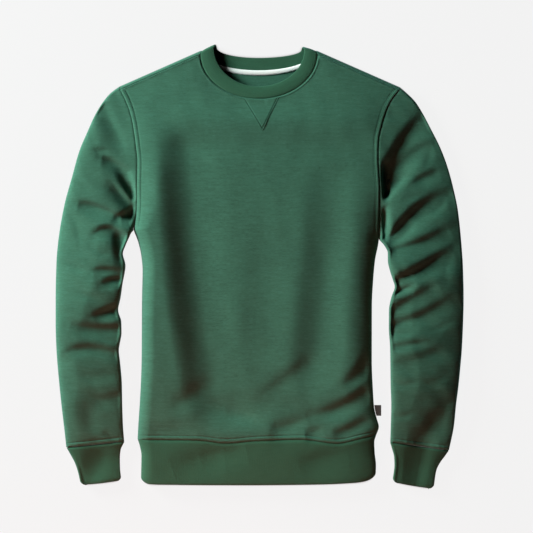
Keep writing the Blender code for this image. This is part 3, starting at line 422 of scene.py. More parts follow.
# %% Knit materials
TORSO_GREEN = (0.037, 0.122, 0.079, 1)
TORSO_DARK = (0.024, 0.082, 0.052, 1)
TORSO_LIGHT = (0.057, 0.172, 0.124, 1)
RIB_GREEN = (0.026, 0.096, 0.054, 1)
RIB_DARK = (0.018, 0.068, 0.038, 1)
RIB_LIGHT = (0.040, 0.132, 0.080, 1)
SHEEN_TINT = (0.40, 0.80, 0.96, 1)
KNIT_RELIEF, WEAVE_RELIEF = 0.3 * MM, 0.2 * MM


def new_finish(name, settings):
    """A new material whose shader has these settings: the material, its nodes and the shader."""
    material = bpy.data.materials.new(name)
    material.use_nodes = True
    shader = material.node_tree.nodes["Principled BSDF"]
    for label, value in settings.items():
        shader.inputs[label].default_value = value
    return material, Nodes(material.node_tree), shader


def knit_material(name, colours, streaks, loops, bump, sheen):
    """A knit finish: the shared group gives the pattern, and the shader its gloss and sheen."""
    material, nodes, shader = new_finish(name, {
        "Specular IOR Level": 0.22, "Sheen Weight": sheen, "Sheen Roughness": 0.38,
        "Sheen Tint": SHEEN_TINT,
    })
    values = dict(zip(("Colour", "Dark yarn", "Light yarn"), colours))
    values.update(Streaks=streaks, Loops=loops)
    knit = nodes.add("ShaderNodeGroup", values, node_tree=knit_group)
    height = {"Height": knit.outputs["Height"], "Strength": bump, "Distance": KNIT_RELIEF}
    nodes.join(knit.outputs["Colour"], shader, "Base Color")
    nodes.join(knit.outputs["Roughness"], shader, "Roughness")
    nodes.join(nodes.add("ShaderNodeBump", height).outputs[0], shader, "Normal")
    return material


fleece_finish = knit_material(
    "fleece", (TORSO_GREEN, TORSO_DARK, TORSO_LIGHT), streaks=0.85, loops=0.5, bump=0.55, sheen=0.22
)
rib_finish = knit_material(
    "rib_knit", (RIB_GREEN, RIB_DARK, RIB_LIGHT), streaks=0.35, loops=0.6, bump=0.5, sheen=0.18
)
thread_finish = knit_material(
    "thread", (TORSO_DARK, TORSO_DARK, TORSO_GREEN), streaks=0.2, loops=0.2, bump=0.2, sheen=0.1
)
print("materials:", [m.name for m in (fleece_finish, rib_finish, thread_finish)])

# %% [markdown]
# ## Woven tape and tab
#
# The tape and the tab are woven, not knitted, so threads cross at right angles. The tape is a
# herringbone: its ridges run on a slant that turns back every few threads. One function makes
# both, with a slant of zero for the plain weave of the tab.

# %% Woven materials
HERRINGBONE_TURN = 3.0


def woven_material(name, colour, shadow, across, along_it, slant):
    """A narrow woven: warp and weft cross at right angles, or on a slant for a herringbone."""
    material, nodes, shader = new_finish(name, {"Roughness": 0.85, "Specular IOR Level": 0.3})
    place = nodes.add("ShaderNodeUVMap", uv_map="cloth").outputs[0]
    parts = nodes.add("ShaderNodeSeparateXYZ", {0: place}).outputs
    u, v = nodes.math("DIVIDE", parts[0], across), nodes.math("DIVIDE", parts[1], along_it)
    zigzag = nodes.math("PINGPONG", v, HERRINGBONE_TURN)
    twill = nodes.math("ADD", u, nodes.math("MULTIPLY", zigzag, slant))
    rows = nodes.math("ABSOLUTE", nodes.math("SUBTRACT", nodes.math("FRACT", twill), 0.5))
    weft = nodes.math("ABSOLUTE", nodes.math("SUBTRACT", nodes.math("FRACT", v), 0.5))
    height = nodes.math("ADD", rows, nodes.math("MULTIPLY", weft, 0.5))
    # The low rows, the grooves of the weave, take the shadow colour: this is painted shade.
    tint = nodes.mix(nodes.spread(rows, 0.0, 0.3, 1.0, 0.0), colour, shadow)
    relief = {"Height": height, "Strength": 0.5, "Distance": WEAVE_RELIEF}
    nodes.join(tint, shader, "Base Color")
    nodes.join(nodes.add("ShaderNodeBump", relief).outputs[0], shader, "Normal")
    return material


TAPE_WHITE, TAPE_SHADOW = (0.93, 0.93, 0.92, 1), (0.80, 0.80, 0.78, 1)
TAB_GREY, TAB_SHADOW = (0.062, 0.068, 0.066, 1), (0.032, 0.036, 0.034, 1)
tape_finish = woven_material("neck_tape", TAPE_WHITE, TAPE_SHADOW, 0.9 * MM, 0.8 * MM, 1.0)
tab_finish = woven_material("side_label", TAB_GREY, TAB_SHADOW, 0.6 * MM, 0.5 * MM, 0.0)
print("woven:", tape_finish.name, tab_finish.name)

# %% [markdown]
# ## The body's outline
#
# The front and the back are cut alike up to the armhole. Rows run up the body: 0 is the hem
# seam, 1 the armpit and 2 the shoulder. A column is a share of the width. All tables are in
# millimetres from the middle of the garment, with the neck at +Y.

# %% Outline of the body
SIDE_SEAM_Z = 9.0
SEAM_GAP = 0.3
SHOULDER_FOLD = 5.0
SHOULDER_FOLD_Z = 6.6
TIP_LEFT, TIP_RIGHT = (-224.0, 288.4), (223.0, 287.4)
SIDE_LEFT = (
    (-195.5, -275), (-194.6, -257), (-192.3, -222), (-190.5, -190), (-189.1, -149),
    (-188.5, -53), (-187.5, -5), (-189.6, 18), (-194.0, 38), (-201.9, 59.2),
)
SIDE_RIGHT = (
    (185.3, -269), (189.8, -255), (186.2, -241), (182.4, -225), (180.6, -200),
    (178.6, -149), (178.8, -60), (180.6, -24), (183.8, 11), (188.6, 35), (189.9, 44.0),
)
ARMHOLE_LEFT = (
    (-201.9, 59.2), (-198.2, 78), (-196.4, 100), (-196.3, 130), (-195.8, 168),
    (-198.1, 192), (-202.1, 221), (-207.0, 244), (-215.2, 266), (-224.0, 283.4),
)
ARMHOLE_RIGHT = (
    (189.9, 44.0), (190.8, 70), (191.3, 97), (191.4, 120), (190.1, 146),
    (188.8, 173), (189.3, 198), (195.2, 227), (206.7, 259), (223.0, 282.4),
)
HEM_SEAM = (
    (-200, -275.0), (-100, -276.2), (-55, -281.0), (-5, -277.0), (65, -275.0),
    (123, -281.4), (164, -273.4), (186, -269.0),
)
Ring = namedtuple("Ring", "centre half fold_left fold_right front back top crown")
NECK_SEAM = Ring(-1.8, 93.2, 345.3, 345.3, 268.6, 310.4, 13.2, 1.6)
COLLAR_EDGE = Ring(-1.4, 73.1, 355.5, 351.7, 287.4, 333.3, 13.6, 0.6)
WRAP_NARROWING = 0.06
NECK_STEPS, BACK_NECK_STEPS, WRAP_STEPS = 44, 40, 12
BODY_ROWS, YOKE_ROWS, ROW_CROWDING = 120, 110, 0.09
HEM_DETAIL, HEM_DETAIL_ROWS = 0.03, 14
HEM_BEND_ROWS, YOKE_START_ROW = 0.3, 1.15
ARMHOLE_LEAN, NECK_SPREAD, NECK_SPREAD_WIDTH, NECK_SPREAD_ROW = 4.0, 16.0, 0.09, 1.4
WIDTH = TIP_RIGHT[0] - TIP_LEFT[0]


def body_rows():
    """Rows from the hem seam to the shoulder, closest together beside the hem's stitches."""
    low = crowded(BODY_ROWS, ROW_CROWDING)
    beside_hem = np.linspace(0, HEM_DETAIL, HEM_DETAIL_ROWS)
    low = np.concatenate([beside_hem, low[low > 1.2 * HEM_DETAIL]])
    return np.concatenate([low, 1 + crowded(YOKE_ROWS, ROW_CROWDING)[1:]])


def corner_shares():
    """Shares of the width at which the shoulder seams meet the neckline."""
    middle, half = NECK_SEAM.centre - TIP_LEFT[0], NECK_SEAM.half + SEAM_GAP
    return (middle - half) / WIDTH, (middle + half) / WIDTH


def edge_points(side, armhole, rows):
    """The side seam up to row 1 and the armhole above it."""
    low = along(side, np.clip(rows, 0, 1))
    high = along(armhole, np.clip(rows - 1, 0, 1))
    return np.where((rows <= 1)[:, None], low, high)


def plan_grid(rows, columns):
    """Plan points of a body panel, and its left and right edge at each row."""
    left = edge_points(SIDE_LEFT, ARMHOLE_LEFT, rows)
    right = edge_points(SIDE_RIGHT, ARMHOLE_RIGHT, rows)
    lean = 1 + (ARMHOLE_LEAN - 1) * ease(rows - 1)[:, None]
    x = TIP_LEFT[0] + WIDTH * columns
    x = x + (left[:, :1] - TIP_LEFT[0]) * (1 - columns) ** lean
    x = x + (right[:, :1] - TIP_RIGHT[0]) * columns**lean
    near_top = np.clip((rows - NECK_SPREAD_ROW) / (2 - NECK_SPREAD_ROW), 0, 1)
    spread = NECK_SPREAD * (ease(rows) - near_top**2)[:, None]
    for corner, outward in zip(corner_shares(), (-1, 1)):
        x = x + outward * spread * np.exp(-(((columns - corner) / NECK_SPREAD_WIDTH) ** 2))
    y = left[:, 1:] + (right[:, 1:] - left[:, 1:]) * columns
    start_x = SIDE_LEFT[0][0] + (SIDE_RIGHT[0][0] - SIDE_LEFT[0][0]) * columns
    start_y = SIDE_LEFT[0][1] + (SIDE_RIGHT[0][1] - SIDE_LEFT[0][1]) * columns
    y = y + (read_line(HEM_SEAM, start_x) - start_y) * (1 - ease(rows / HEM_BEND_ROWS))[:, None]
    return x, y, left, right


def raised_to_yoke(y, left, right, rows, columns, top_y):
    """Bends the rows, from a little above the armpit on, to end at top_y."""
    tips = left[-1, 1] + (right[-1, 1] - left[-1, 1]) * columns
    return y + ease((rows - YOKE_START_ROW) / (2 - YOKE_START_ROW))[:, None] * (top_y - tips)


def shoulder_y(x):
    """The fold line of the shoulders, from each tip to the collar."""
    neck = (NECK_SEAM.centre - NECK_SEAM.half, NECK_SEAM.centre + NECK_SEAM.half)
    key_x = (TIP_LEFT[0], *neck, TIP_RIGHT[0])
    key_y = (TIP_LEFT[1], NECK_SEAM.fold_left, NECK_SEAM.fold_right, TIP_RIGHT[1])
    return np.interp(x, key_x, key_y)


def front_top(columns):
    """Plan points of the front's upper edge: shoulder seam, neckline, shoulder seam."""
    left, right = corner_shares()
    x = TIP_LEFT[0] + WIDTH * columns
    y = shoulder_y(x) - SHOULDER_FOLD - SEAM_GAP
    half = NECK_SEAM.half + SEAM_GAP
    sine = np.sqrt(np.clip(1 - ((x - NECK_SEAM.centre) / half) ** 2, 0, 1))
    on_neck = (columns > left - 1e-6) & (columns < right + 1e-6)
    top = NECK_SEAM.fold_left - SHOULDER_FOLD - SEAM_GAP
    return x, np.where(on_neck, top - (top - NECK_SEAM.front + SEAM_GAP) * sine, y)


print("rows:", len(body_rows()), "neck corners at", np.round(corner_shares(), 3))

# %% [markdown]
# ## The front panel
#
# The front stands off the back by the loft of a filled-out garment and rounds down at the side
# folds. Its height is a few terms: a height by place up the body, a gentle swell toward the
# wearer's left, ledges where the drape steps down along a line, a fall to the shoulders and the
# neckline, a fall to each side, and the folds. Where a seam holds the cloth, it dips into a
# ditch, and the seam allowance pressed under it raises a band about 6 mm wide beside it.
#
# Terms that add up are easy to tune by hand: each table changes one thing that can be seen.

# %% Heights and folds of the front
FRONT_HEIGHT = (
    (-282, 20.5), (-240, 24), (-158, 30), (-41, 33), (60, 32.5), (150, 30), (200, 26),
    (240, 20.5), (268, 17), (310, 14.6), (346, 13.6),
)
TOP_FALL = 42.0
Side = namedtuple("Side", "row roundness round_left round_right")
FRONT_SIDES = (
    Side(0.00, 1.0, 20, 64),
    Side(0.12, 0.9, 20, 52),
    Side(0.35, 0.85, 21, 46),
    Side(0.70, 0.85, 22, 44),
    Side(1.00, 0.85, 26, 44),
    Side(1.15, 0.3, 34, 56),
    Side(1.35, 0.0, 40, 60),
    Side(2.00, 0.0, 44, 60),
)
ARMHOLE_Z = ((0.0, 9.0, 9.0), (0.08, 14.0, 1.2), (0.16, 16.8, 0.0), (0.35, 21.0, 0.0),
             (0.60, 20.5, 0.0), (0.85, 16.0, 0.0), (1.0, 13.2, 0.0))
BODY_FOLDS = (
    Fold(-140.0, -224, -112.0, -208, -86.0, -190, 15, 16, 0.8, 3.0, 1.6),
    Fold(-178.0, -262, -150.0, -263, -122.0, -259, 14, 18, 0.5, 1.8, 0.8),
    Fold(-56.0, -228, -32.0, -237, -8.0, -246, 12, 14, 0.8, 2.8, 1.2),
    Fold(8.0, -205, 40.0, -182, 74.0, -156, 12, 20, 0.8, 3.0, 1.8),
    Fold(16.0, -258, 42.0, -256, 74.0, -245, 12, 18, 0.2, 5.0, 2.0),
    Fold(-96.0, -306, -58.0, -298, -22.0, -290, 15, 24, 0.8, 2.6, 0.6),
    Fold(72.0, -267, 86.0, -264, 102.0, -259, 9, 12, 0.6, 3.8, 1.4),
    Fold(88.0, -236, 124.8, -226, 164.0, -202, 9, 16, 1.6, 5.2, 4.6),
    Fold(116.0, -267, 138.0, -262, 163.0, -249, 9, 13, 0.8, 4.6, 3.0),
    Fold(134.0, -190, 152.0, -176, 169.0, -154, 10, 15, 1.4, 4.2, 3.0),
    Fold(62.0, -318, 100.0, -308, 140.0, -300, 15, 26, 0.6, 2.6, 1.0),
    Fold(-140.0, -322, -100.0, -312, -56.0, -306, 22, 30, 0.6, 2.8, 0.8),
)
LOWEST_FOLD_Z = 7.5
BODY_EDGE_FREE_OF_FOLDS = 14.0
DITCH, DITCH_WIDTH = 1.4, 1.0
BAND, BAND_WIDTH, BAND_START, BAND_END = 0.55, 6.4, 2.0, 2.4
STITCH_GROOVE, STITCH_GROOVE_WIDTH = 0.85, 0.9
PUCKER, PUCKER_REACH, PUCKER_LENGTH, PUCKER_START = 0.16, 9.0, 11.0, 1.5
NECKLINE_DITCH, NECKLINE_BAND, HEM_SEAM_BAND = 0.55, 0.3, 0.35
NECK_BAND_START, NECK_BAND_WIDTH, NECK_BAND_END = 1.5, 2.0, 3.0
BODY_RIPPLE, ARMHOLE_START_ROWS = 0.14, 0.06
FAR = 1e3
print("folds on the front and hem:", len(BODY_FOLDS))

# %% [markdown]
# ## Ledges and the swell of the front
#
# A ledge is where the cloth steps down across a line. It falls over its run, then comes back up
# by a share of its drop over a second distance. The drop is given at its start, middle and end.
# Three ledges make the long soft bands of a shirt that has been smoothed by hand. They turn
# whole areas toward the light or away from it, which folds are too narrow to do.

# %% Ledges and the swell of the front
Ledge = namedtuple("Ledge", "x0 y0 xm ym x1 y1 run back regain start middle end")
LEDGE_FADE = 60.0
SWELL, SWELL_FROM, SWELL_WIDTH = 10.0, -60.0, 230.0
SWELL_LOW, SWELL_HIGH, SWELL_LOW_FADE, SWELL_HIGH_FADE = -276.0, 215.0, 90.0, 150.0
BODY_LEDGES = (
    Ledge(-170.0, 180, -157.0, -15, -126.0, -213, 60, 62, 0.22, 11.0, 20.0, 13.5),
    Ledge(66.0, 125, 56.0, -30, 42.0, -165, 50, 44, 0.55, 3.5, 11.5, 9.5),
    Ledge(-42.0, 60, -38.0, -50, -44.0, -150, 48, 44, 0.80, 0.3, 3.2, 0.8),
)


def ledge_depth(ledges, x, y):
    """How far the ledges have stepped down at each plan point, to the right of their lines."""
    depth = np.zeros(np.shape(x))
    for ledge in ledges:
        nearest, place, side = nearest_on_curve(ledge, x, y)
        past = nearest * side
        gone = ease(past / ledge.run) - ledge.regain * ease((past - ledge.run) / ledge.back)
        strength = through_three(ledge.start, ledge.middle, ledge.end, place)
        ends = (1 - ease((y - ledge.y0) / LEDGE_FADE)) * (1 - ease((ledge.y1 - y) / LEDGE_FADE))
        depth += strength * gone * ends
    return depth


def rise(share, roundness):
    """How far a side has risen, 0 to 1, at a share of its rounding."""
    short = (1 - np.clip(share, 0, 1)) ** 2
    return roundness * np.sqrt(1 - short) + (1 - roundness) * (1 - short)


def armhole_heights(shares):
    """Heights of the front's and the back's armhole edge, from armpit to shoulder."""
    table = np.array(ARMHOLE_Z)
    return smooth_through(table[:, 0], table[:, 1:], np.clip(shares, 0, 1))


def seam_relief(distance, band=BAND):
    """The ditch at a seam, the raised allowance beside it and the groove of its stitches."""
    ditch = -DITCH * np.exp(-((distance / DITCH_WIDTH) ** 2))
    ended = ease((distance - BAND_WIDTH + BAND_END / 2) / BAND_END)
    raised = band * ease(distance / BAND_START) * (1 - ended)
    groove = -STITCH_GROOVE * np.exp(-(((distance - BAND_WIDTH) / STITCH_GROOVE_WIDTH) ** 2))
    return ditch + raised + groove * (band > 0)


def puckers(distance, place, seed):
    """Small gathers that a seam leaves in the cloth beside it, by distance and place along it."""
    wave = ripple(place, 0.25 * distance, seed, waves=5, length=PUCKER_LENGTH, slant=0.0)
    fade = np.exp(-((distance / PUCKER_REACH) ** 2))
    return PUCKER * wave * fade * ease(distance / PUCKER_START)


def free_of_sides(from_left, from_right):
    """How freely the body's cloth folds: 0 at its side seams, 1 well inside them."""
    return ease(from_left / BODY_EDGE_FREE_OF_FOLDS) * ease(from_right / BODY_EDGE_FREE_OF_FOLDS)


def swell(x, y):
    """The gentle rise of the front toward the wearer's left, between the hem and the chest."""
    across = np.clip((x - SWELL_FROM) / SWELL_WIDTH, 0, 1) ** 2
    from_low, from_high = (y - SWELL_LOW) / SWELL_LOW_FADE, (SWELL_HIGH - y) / SWELL_HIGH_FADE
    return SWELL * across * ease(from_low) * ease(from_high)


print("the front's middle has stepped down by", ledge_depth(BODY_LEDGES, 0.0, 0.0).round(1))

# %% [markdown]
# ## From terms to a surface
#
# `front_base` adds up the terms that give the front its form, and `front_surface` lays the
# folds, seams and puckers over it. The columns stand close where the sides round down and at
# the neck, and far apart where the cloth is nearly flat, so faces go where the form needs them.

# %% The front's surface
def front_base(rows, columns):
    """Plan points, height before the folds, and distances from the sides, top and hem seam."""
    x, y, left, right = plan_grid(rows, columns)
    y = raised_to_yoke(y, left, right, rows, columns, front_top(columns)[1])
    edge_x, edge_y = front_top(front_columns(1))
    from_top = nearest_on_line(edge_x, edge_y, x, y)[0]
    crown = NECK_SEAM.crown * np.clip(1 - ((x - NECK_SEAM.centre) / NECK_SEAM.half) ** 2, 0, 1)
    low, high = NECK_SEAM.top + crown, read_line(FRONT_HEIGHT, y)
    middle = low + (high - low) * rise(from_top / TOP_FALL, 0.0) + swell(x, y)
    middle = pressed(middle, ledge_depth(BODY_LEDGES, x, y), LOWEST_FOLD_Z)
    sides = smooth_through([s.row for s in FRONT_SIDES], [s[1:] for s in FRONT_SIDES], rows)
    roundness, round_left, round_right = (sides[:, k : k + 1] for k in range(3))
    edge = np.where((rows <= 1)[:, None], SIDE_SEAM_Z, armhole_heights(rows - 1)[:, :1])
    from_left, from_right = x - left[:, :1], right[:, :1] - x
    rise_left = rise(from_left / round_left, roundness)
    rise_right = rise(from_right / round_right, 0.4 * roundness)
    fall = 2 - rise_left - rise_right
    from_hem = np.where((rows < 0.5)[:, None], y - read_line(HEM_SEAM, x), FAR)
    return x, y, middle - (middle - edge) * fall, from_left, from_right, from_top, from_hem


def front_columns(detail=4):
    """Shares of the width: close together where the sides round down and at the neck."""
    left, right = corner_shares()
    turn = np.linspace(0, np.pi, NECK_STEPS + 1)[1:]
    left_round, right_round = 0.068, 0.155
    return np.concatenate([
        corner_steps(left_round, 5 * detail),
        np.linspace(left_round, left, 6 * detail + 1)[1:],
        (left + right) / 2 - (right - left) / 2 * np.cos(turn),
        np.linspace(right, 1 - right_round, 4 * detail + 1)[1:],
        (1 - corner_steps(right_round, 7 * detail))[::-1][1:],
    ])


def front_surface(rows, columns):
    """The front's outer points with folds, seams and puckers."""
    x, y, base, from_left, from_right, from_top, from_hem = front_base(rows, columns)
    free = free_of_sides(from_left, from_right)
    z = pressed(base, fold_depth(BODY_FOLDS, x, y) * free, LOWEST_FOLD_Z)
    above = ease((rows - 1.0) / ARMHOLE_START_ROWS)[:, None]
    for distance in (from_left, from_right):
        z = z + above * (seam_relief(distance) + puckers(distance, y, 11))
    band = ease(from_top / NECK_BAND_START) - ease((from_top - NECK_BAND_WIDTH) / NECK_BAND_END)
    z = z + NECKLINE_DITCH * seam_relief(from_top, 0.0) + NECKLINE_BAND * band
    z = z + puckers(from_top, x, 12)
    hem_relief = seam_relief(np.maximum(from_hem, 0), HEM_SEAM_BAND)
    z = z + (hem_relief + puckers(from_hem, x, 13)) * free
    z = z + BODY_RIPPLE * ripple(x, y, seed=21, waves=9, length=44.0, slant=0.6) * free
    return np.stack([x, y, z], axis=2)


# %% [markdown]
# ## The front panel as cloth
#
# The grid now becomes the first sheet. `dress` gives it the fleece, sets it on the body and
# hides the solid that it stands for; `cloth` has printed its area of cloth.

# %% The front panel
rows, columns = body_rows(), front_columns()
front_points = front_surface(rows, columns)
front_panel = cloth("front_cloth", front_points, False, FLEECE, plan_map(front_points))
dress(front_panel, fleece_finish, ["front_panel"])

# %% [markdown]
# ## The neck ring
#
# The collar seam is one closed ring: round the front neckline on top, over the shoulder fold,
# round the back neckline against the floor and up again. `angles` says which way the band
# faces there: 90 is up and -90 is down. Both the back's upper edge and the collar read it.

# %% Neck ring
def fold_line_y(ring, x):
    """The y of a ring's fold line over the shoulders at each x."""
    share = np.clip((x - ring.centre + ring.half) / (2 * ring.half), 0, 1)
    return ring.fold_left + (ring.fold_right - ring.fold_left) * share


def neck_ring(ring, grow=0.0):
    """The parts of the ring, front, right fold, back and left fold, and how each point faces."""
    half = ring.half + grow
    front_turn = np.linspace(0, np.pi, NECK_STEPS + 1)
    wrap_turn = np.linspace(90, -90, WRAP_STEPS + 1)
    back_turn = np.linspace(0, np.pi, BACK_NECK_STEPS + 1)
    narrow = half * (1 - WRAP_NARROWING * (1 - (wrap_turn + 90) / 180))
    wrap_y = -SHOULDER_FOLD * (1 - np.cos(np.radians(wrap_turn)))
    wrap_z = ring.top / 2 * (1 + np.sin(np.radians(wrap_turn)))
    front_x = ring.centre - half * np.cos(front_turn)
    top_y = fold_line_y(ring, front_x) - SHOULDER_FOLD
    front_y = top_y - (top_y - ring.front + grow) * np.sin(front_turn)
    front = np.stack([front_x, front_y, ring.top + ring.crown * np.sin(front_turn) ** 2], axis=1)
    back_x = ring.centre + narrow[-1] * np.cos(back_turn)
    top_y = fold_line_y(ring, back_x) - SHOULDER_FOLD
    back_y = top_y - (top_y - ring.back + grow) * np.sin(back_turn)
    back = np.stack([back_x, back_y, np.zeros_like(back_x)], axis=1)
    right_x, left_x = ring.centre + narrow, ring.centre - narrow
    right = np.stack([right_x, fold_line_y(ring, right_x) + wrap_y, wrap_z], axis=1)
    left = np.stack([left_x, fold_line_y(ring, left_x) + wrap_y, wrap_z], axis=1)[::-1]
    points = np.concatenate([front, right[1:], back[1:], left[1:-1]])
    angles = np.concatenate([
        np.full(len(front), 90.0), wrap_turn[1:], np.full(len(back) - 1, -90.0),
        wrap_turn[::-1][1:-1],
    ])
    return (front, right, back, left), points, angles


print("points on the collar seam:", len(neck_ring(NECK_SEAM)[1]))

# %% [markdown]
# ## The back panel
#
# The back lies flat on what it rests on and turns up at the sides to meet the front. At the
# shoulders it is carried over the fold, so the shoulder seam sits on the front, a little below
# the edge, where makers put it to keep the fold soft. Shallow creases lift its underside in a
# few places, as cloth never touches the table everywhere.
#
# The panel is one grid: the rows of the flat part, then a few rows that turn over the shoulder
# fold. In the middle, where the neckline is, those last rows stop at the neck seam instead.

# %% The back panel
BACK_EDGE_ROUND = 9.0
BACK_CORNER, SHOULDER_STEPS = 0.024, 22
SHOULDER_FLAT_RUN, SHOULDER_ARC_RUN = 12.0, 20.0
BACK_FOLDS = (
    Fold(-150, -200, -110, -60, -60, 80, 20, 14, -0.2, -1.2, -0.3),
    Fold(140, -150, 90, -20, 60, 130, 14, 18, -0.3, -1.0, -0.2),
    Fold(-60, -230, 10, -190, 90, -215, 9, 12, -0.2, -0.9, -0.3),
    Fold(-90, 190, -20, 170, 60, 200, 12, 10, -0.2, -0.8, -0.2),
    Fold(-170, 120, -140, 150, -120, 190, 8, 10, -0.2, -0.9, -0.2),
    Fold(165, 60, 140, 120, 120, 190, 10, 8, -0.3, -0.9, -0.2),
)


def wrap_columns():
    """Shares of the width at the neck ring's points on the left fold, back and right fold."""
    right, back, left = neck_ring(NECK_SEAM, SEAM_GAP)[0][1:]
    return tuple((part[::-1, 0] - TIP_LEFT[0]) / WIDTH for part in (left, back, right))


def back_columns():
    """Shares of the width: the turned-up edges, the shoulders and the neck ring's own points."""
    edge = corner_steps(BACK_CORNER, 8)
    left_wrap, back, right_wrap = wrap_columns()
    return np.concatenate([
        edge, np.linspace(edge[-1], left_wrap[0], SHOULDER_STEPS + 1)[1:-1], left_wrap,
        back[1:-1], right_wrap,
        np.linspace(right_wrap[-1], 1 - edge[-1], SHOULDER_STEPS + 1)[1:-1], 1 - edge[::-1],
    ])


def back_top(columns):
    """For each column its x, how far it wraps up, and the y of the neckline there."""
    left_wrap, back, right_wrap = wrap_columns()
    x = TIP_LEFT[0] + WIDTH * columns
    turns = np.linspace(90, -90, WRAP_STEPS + 1)
    key = np.concatenate([left_wrap, back[1:-1], right_wrap])
    turn_keys = np.concatenate([turns, np.full(len(back) - 2, -90.0), turns[::-1]])
    neckline = neck_ring(NECK_SEAM, SEAM_GAP)[0][2][::-1]
    return x, np.interp(columns, key, turn_keys), np.interp(x, neckline[:, 0], neckline[:, 1])


def back_surface():
    """The back's outer points, from the hem seam up and over the shoulder fold."""
    rows, columns = body_rows()[::2], back_columns()
    x, y, left, right = plan_grid(rows, columns)
    seam_x, wrap, neck_y = back_top(columns)
    flat_run = SHOULDER_FLAT_RUN * (90 - wrap) / 180
    arc_run = SHOULDER_ARC_RUN * (wrap + 90) / 180
    on_neck = wrap <= -90 + 1e-6
    base_y = np.where(on_neck, neck_y, shoulder_y(seam_x) - SHOULDER_FOLD) - flat_run
    y = raised_to_yoke(y, left, right, rows, columns, base_y)
    edge = np.where((rows <= 1)[:, None], SIDE_SEAM_Z - SEAM_GAP, armhole_heights(rows - 1)[:, 1:])
    near = np.minimum(x - left[:, :1], right[:, :1] - x)
    z = edge * (1 - rise(near / BACK_EDGE_ROUND, 1.0))
    inside = ease((near - BACK_EDGE_ROUND) / 20) * ease((2 - rows) / 0.15)[:, None]
    z = z - fold_depth(BACK_FOLDS, x, y) * inside
    grid = [np.stack([x, y, z], axis=2)]
    for k in range(1, WRAP_STEPS + 1):
        gone = k / WRAP_STEPS * (flat_run + arc_run)
        turned = np.clip((gone - flat_run) / np.maximum(arc_run, 1e-6), 0, 1)
        angle = np.radians(-90 + turned * (wrap + 90))
        bend_y = np.where(on_neck, 0, SHOULDER_FOLD * np.cos(angle))
        row_z = np.where(on_neck, 0, SHOULDER_FOLD_Z * (1 + np.sin(angle)))
        row_y = base_y + np.minimum(gone, flat_run) + bend_y
        grid.append(np.stack([seam_x, row_y, row_z], axis=1)[None])
    return np.concatenate(grid)


back_points = back_surface()
back_panel = cloth("back_cloth", back_points, False, FLEECE, plan_map(back_points))
dress(back_panel, fleece_finish, ["back_panel"])

# %% [markdown]
# ## Rib knit
#
# Rib is knitted in raised columns that let it stretch and spring back. At about 2.7 mm a column
# the ribs are real relief here, not a painted pattern: the tube's columns are spread evenly
# round it, four to a rib, and pushed out along the surface by a small wave. The wave fades at
# the seam, where the overlock holds the ribs flat.
#
# The free edge of a band is a fold, not a cut. Its last rows turn in through a quarter circle,
# and where the tube lies flat its two free corners are rounded a little, as soft rib does.

# %% Rib helper
RIB_PITCH = 2.7
RIB_PROFILE = np.array([0.0, 0.55, 1.0, 0.55])
RIB_HEIGHT, RIB_AT_SEAM, RIB_SEAM_FADE, RIB_MOUTH_FADE = 0.10, 0.35, 0.10, 0.04
CORNER_ROWS, CORNER_STEPS, CORNER_INSET, MOUTH_STEPS = 4, 9, 0.7, 4


def even_round(points, pitch):
    """The same closed grid with a whole number of ribs, its columns at equal steps."""
    middle = points[len(points) // 2]
    steps = np.linalg.norm(np.roll(middle, -1, axis=0) - middle, axis=1)
    keys = np.concatenate([[0], np.cumsum(steps)])
    count = int(round(keys[-1] / pitch)) * len(RIB_PROFILE)
    at = np.linspace(0, keys[-1], count + 1)[:-1]
    closed = np.concatenate([points, points[:, :1]], axis=1)
    flat = closed.transpose(1, 0, 2).reshape(len(keys), -1)
    return smooth_through(keys, flat, at).reshape(count, len(points), 3).transpose(1, 0, 2)


def ribbed(points, pitch=RIB_PITCH, height=RIB_HEIGHT):
    """Pushes a closed grid out into ribs that run along its columns."""
    points = even_round(points, pitch)
    normals = grid_normals(points, True)
    share = np.linspace(0, 1, len(points))[:, None]
    at_seam = RIB_AT_SEAM + (1 - RIB_AT_SEAM) * ease(share / RIB_SEAM_FADE)
    strength = at_seam * (0.5 + 0.5 * ease((1 - share) / RIB_MOUTH_FADE))
    wave = np.tile(RIB_PROFILE, points.shape[1] // len(RIB_PROFILE))[None] - 1.0
    return points + normals * (height * strength * wave)[..., None]


def with_corners_rounded(points, corner):
    """The same tube with finer last rows that draw in toward its mouth."""
    last = len(points) - 1
    start = last - CORNER_ROWS
    at = np.append(np.arange(start), np.linspace(start, last, CORNER_STEPS))
    lower = np.minimum(at.astype(int), last - 1)
    share = (at - lower)[:, None, None]
    points = points[lower] + (points[lower + 1] - points[lower]) * share
    from_mouth = np.linalg.norm(points - points[-1], axis=2).mean(axis=1)
    inset = CORNER_INSET * corner * np.maximum(1 - from_mouth / corner, 0) ** 2
    middle = points.mean(axis=1, keepdims=True)
    half = np.abs(points[..., :1] - middle[..., :1]).max(axis=1, keepdims=True)
    return middle + (points - middle) * (1 - inset[:, None, None] / half)


def rounded_mouth(points, roll, corner=0.0):
    """Turns a tube's last rows in, so that its free edge is a soft fold above the floor."""
    if corner:
        points = with_corners_rounded(points, corner)
    turn = np.linspace(0, np.pi / 2, MOUTH_STEPS + 1)[1:]
    normals = grid_normals(points, True)[-2]
    ahead = points[-1] - points[-2]
    ahead /= np.linalg.norm(ahead, axis=1)[:, None]
    rows = [points[-1] + roll * (np.sin(a) * ahead - (1 - np.cos(a)) * normals) for a in turn]
    points = np.concatenate([points, np.array(rows)])
    points[..., 2] = np.maximum(points[..., 2], 0)
    return points


print("ribs in 100 mm:", round(100 / RIB_PITCH))

# %% [markdown]
# ## The hem rib
#
# The hem is a doubled tube of rib, a little shorter round than the body, so it draws the body
# in and the cloth above it puckers. It is one loop over the top and back underneath, through
# five bands from the seam to the folded edge. The body's folds run on into it.

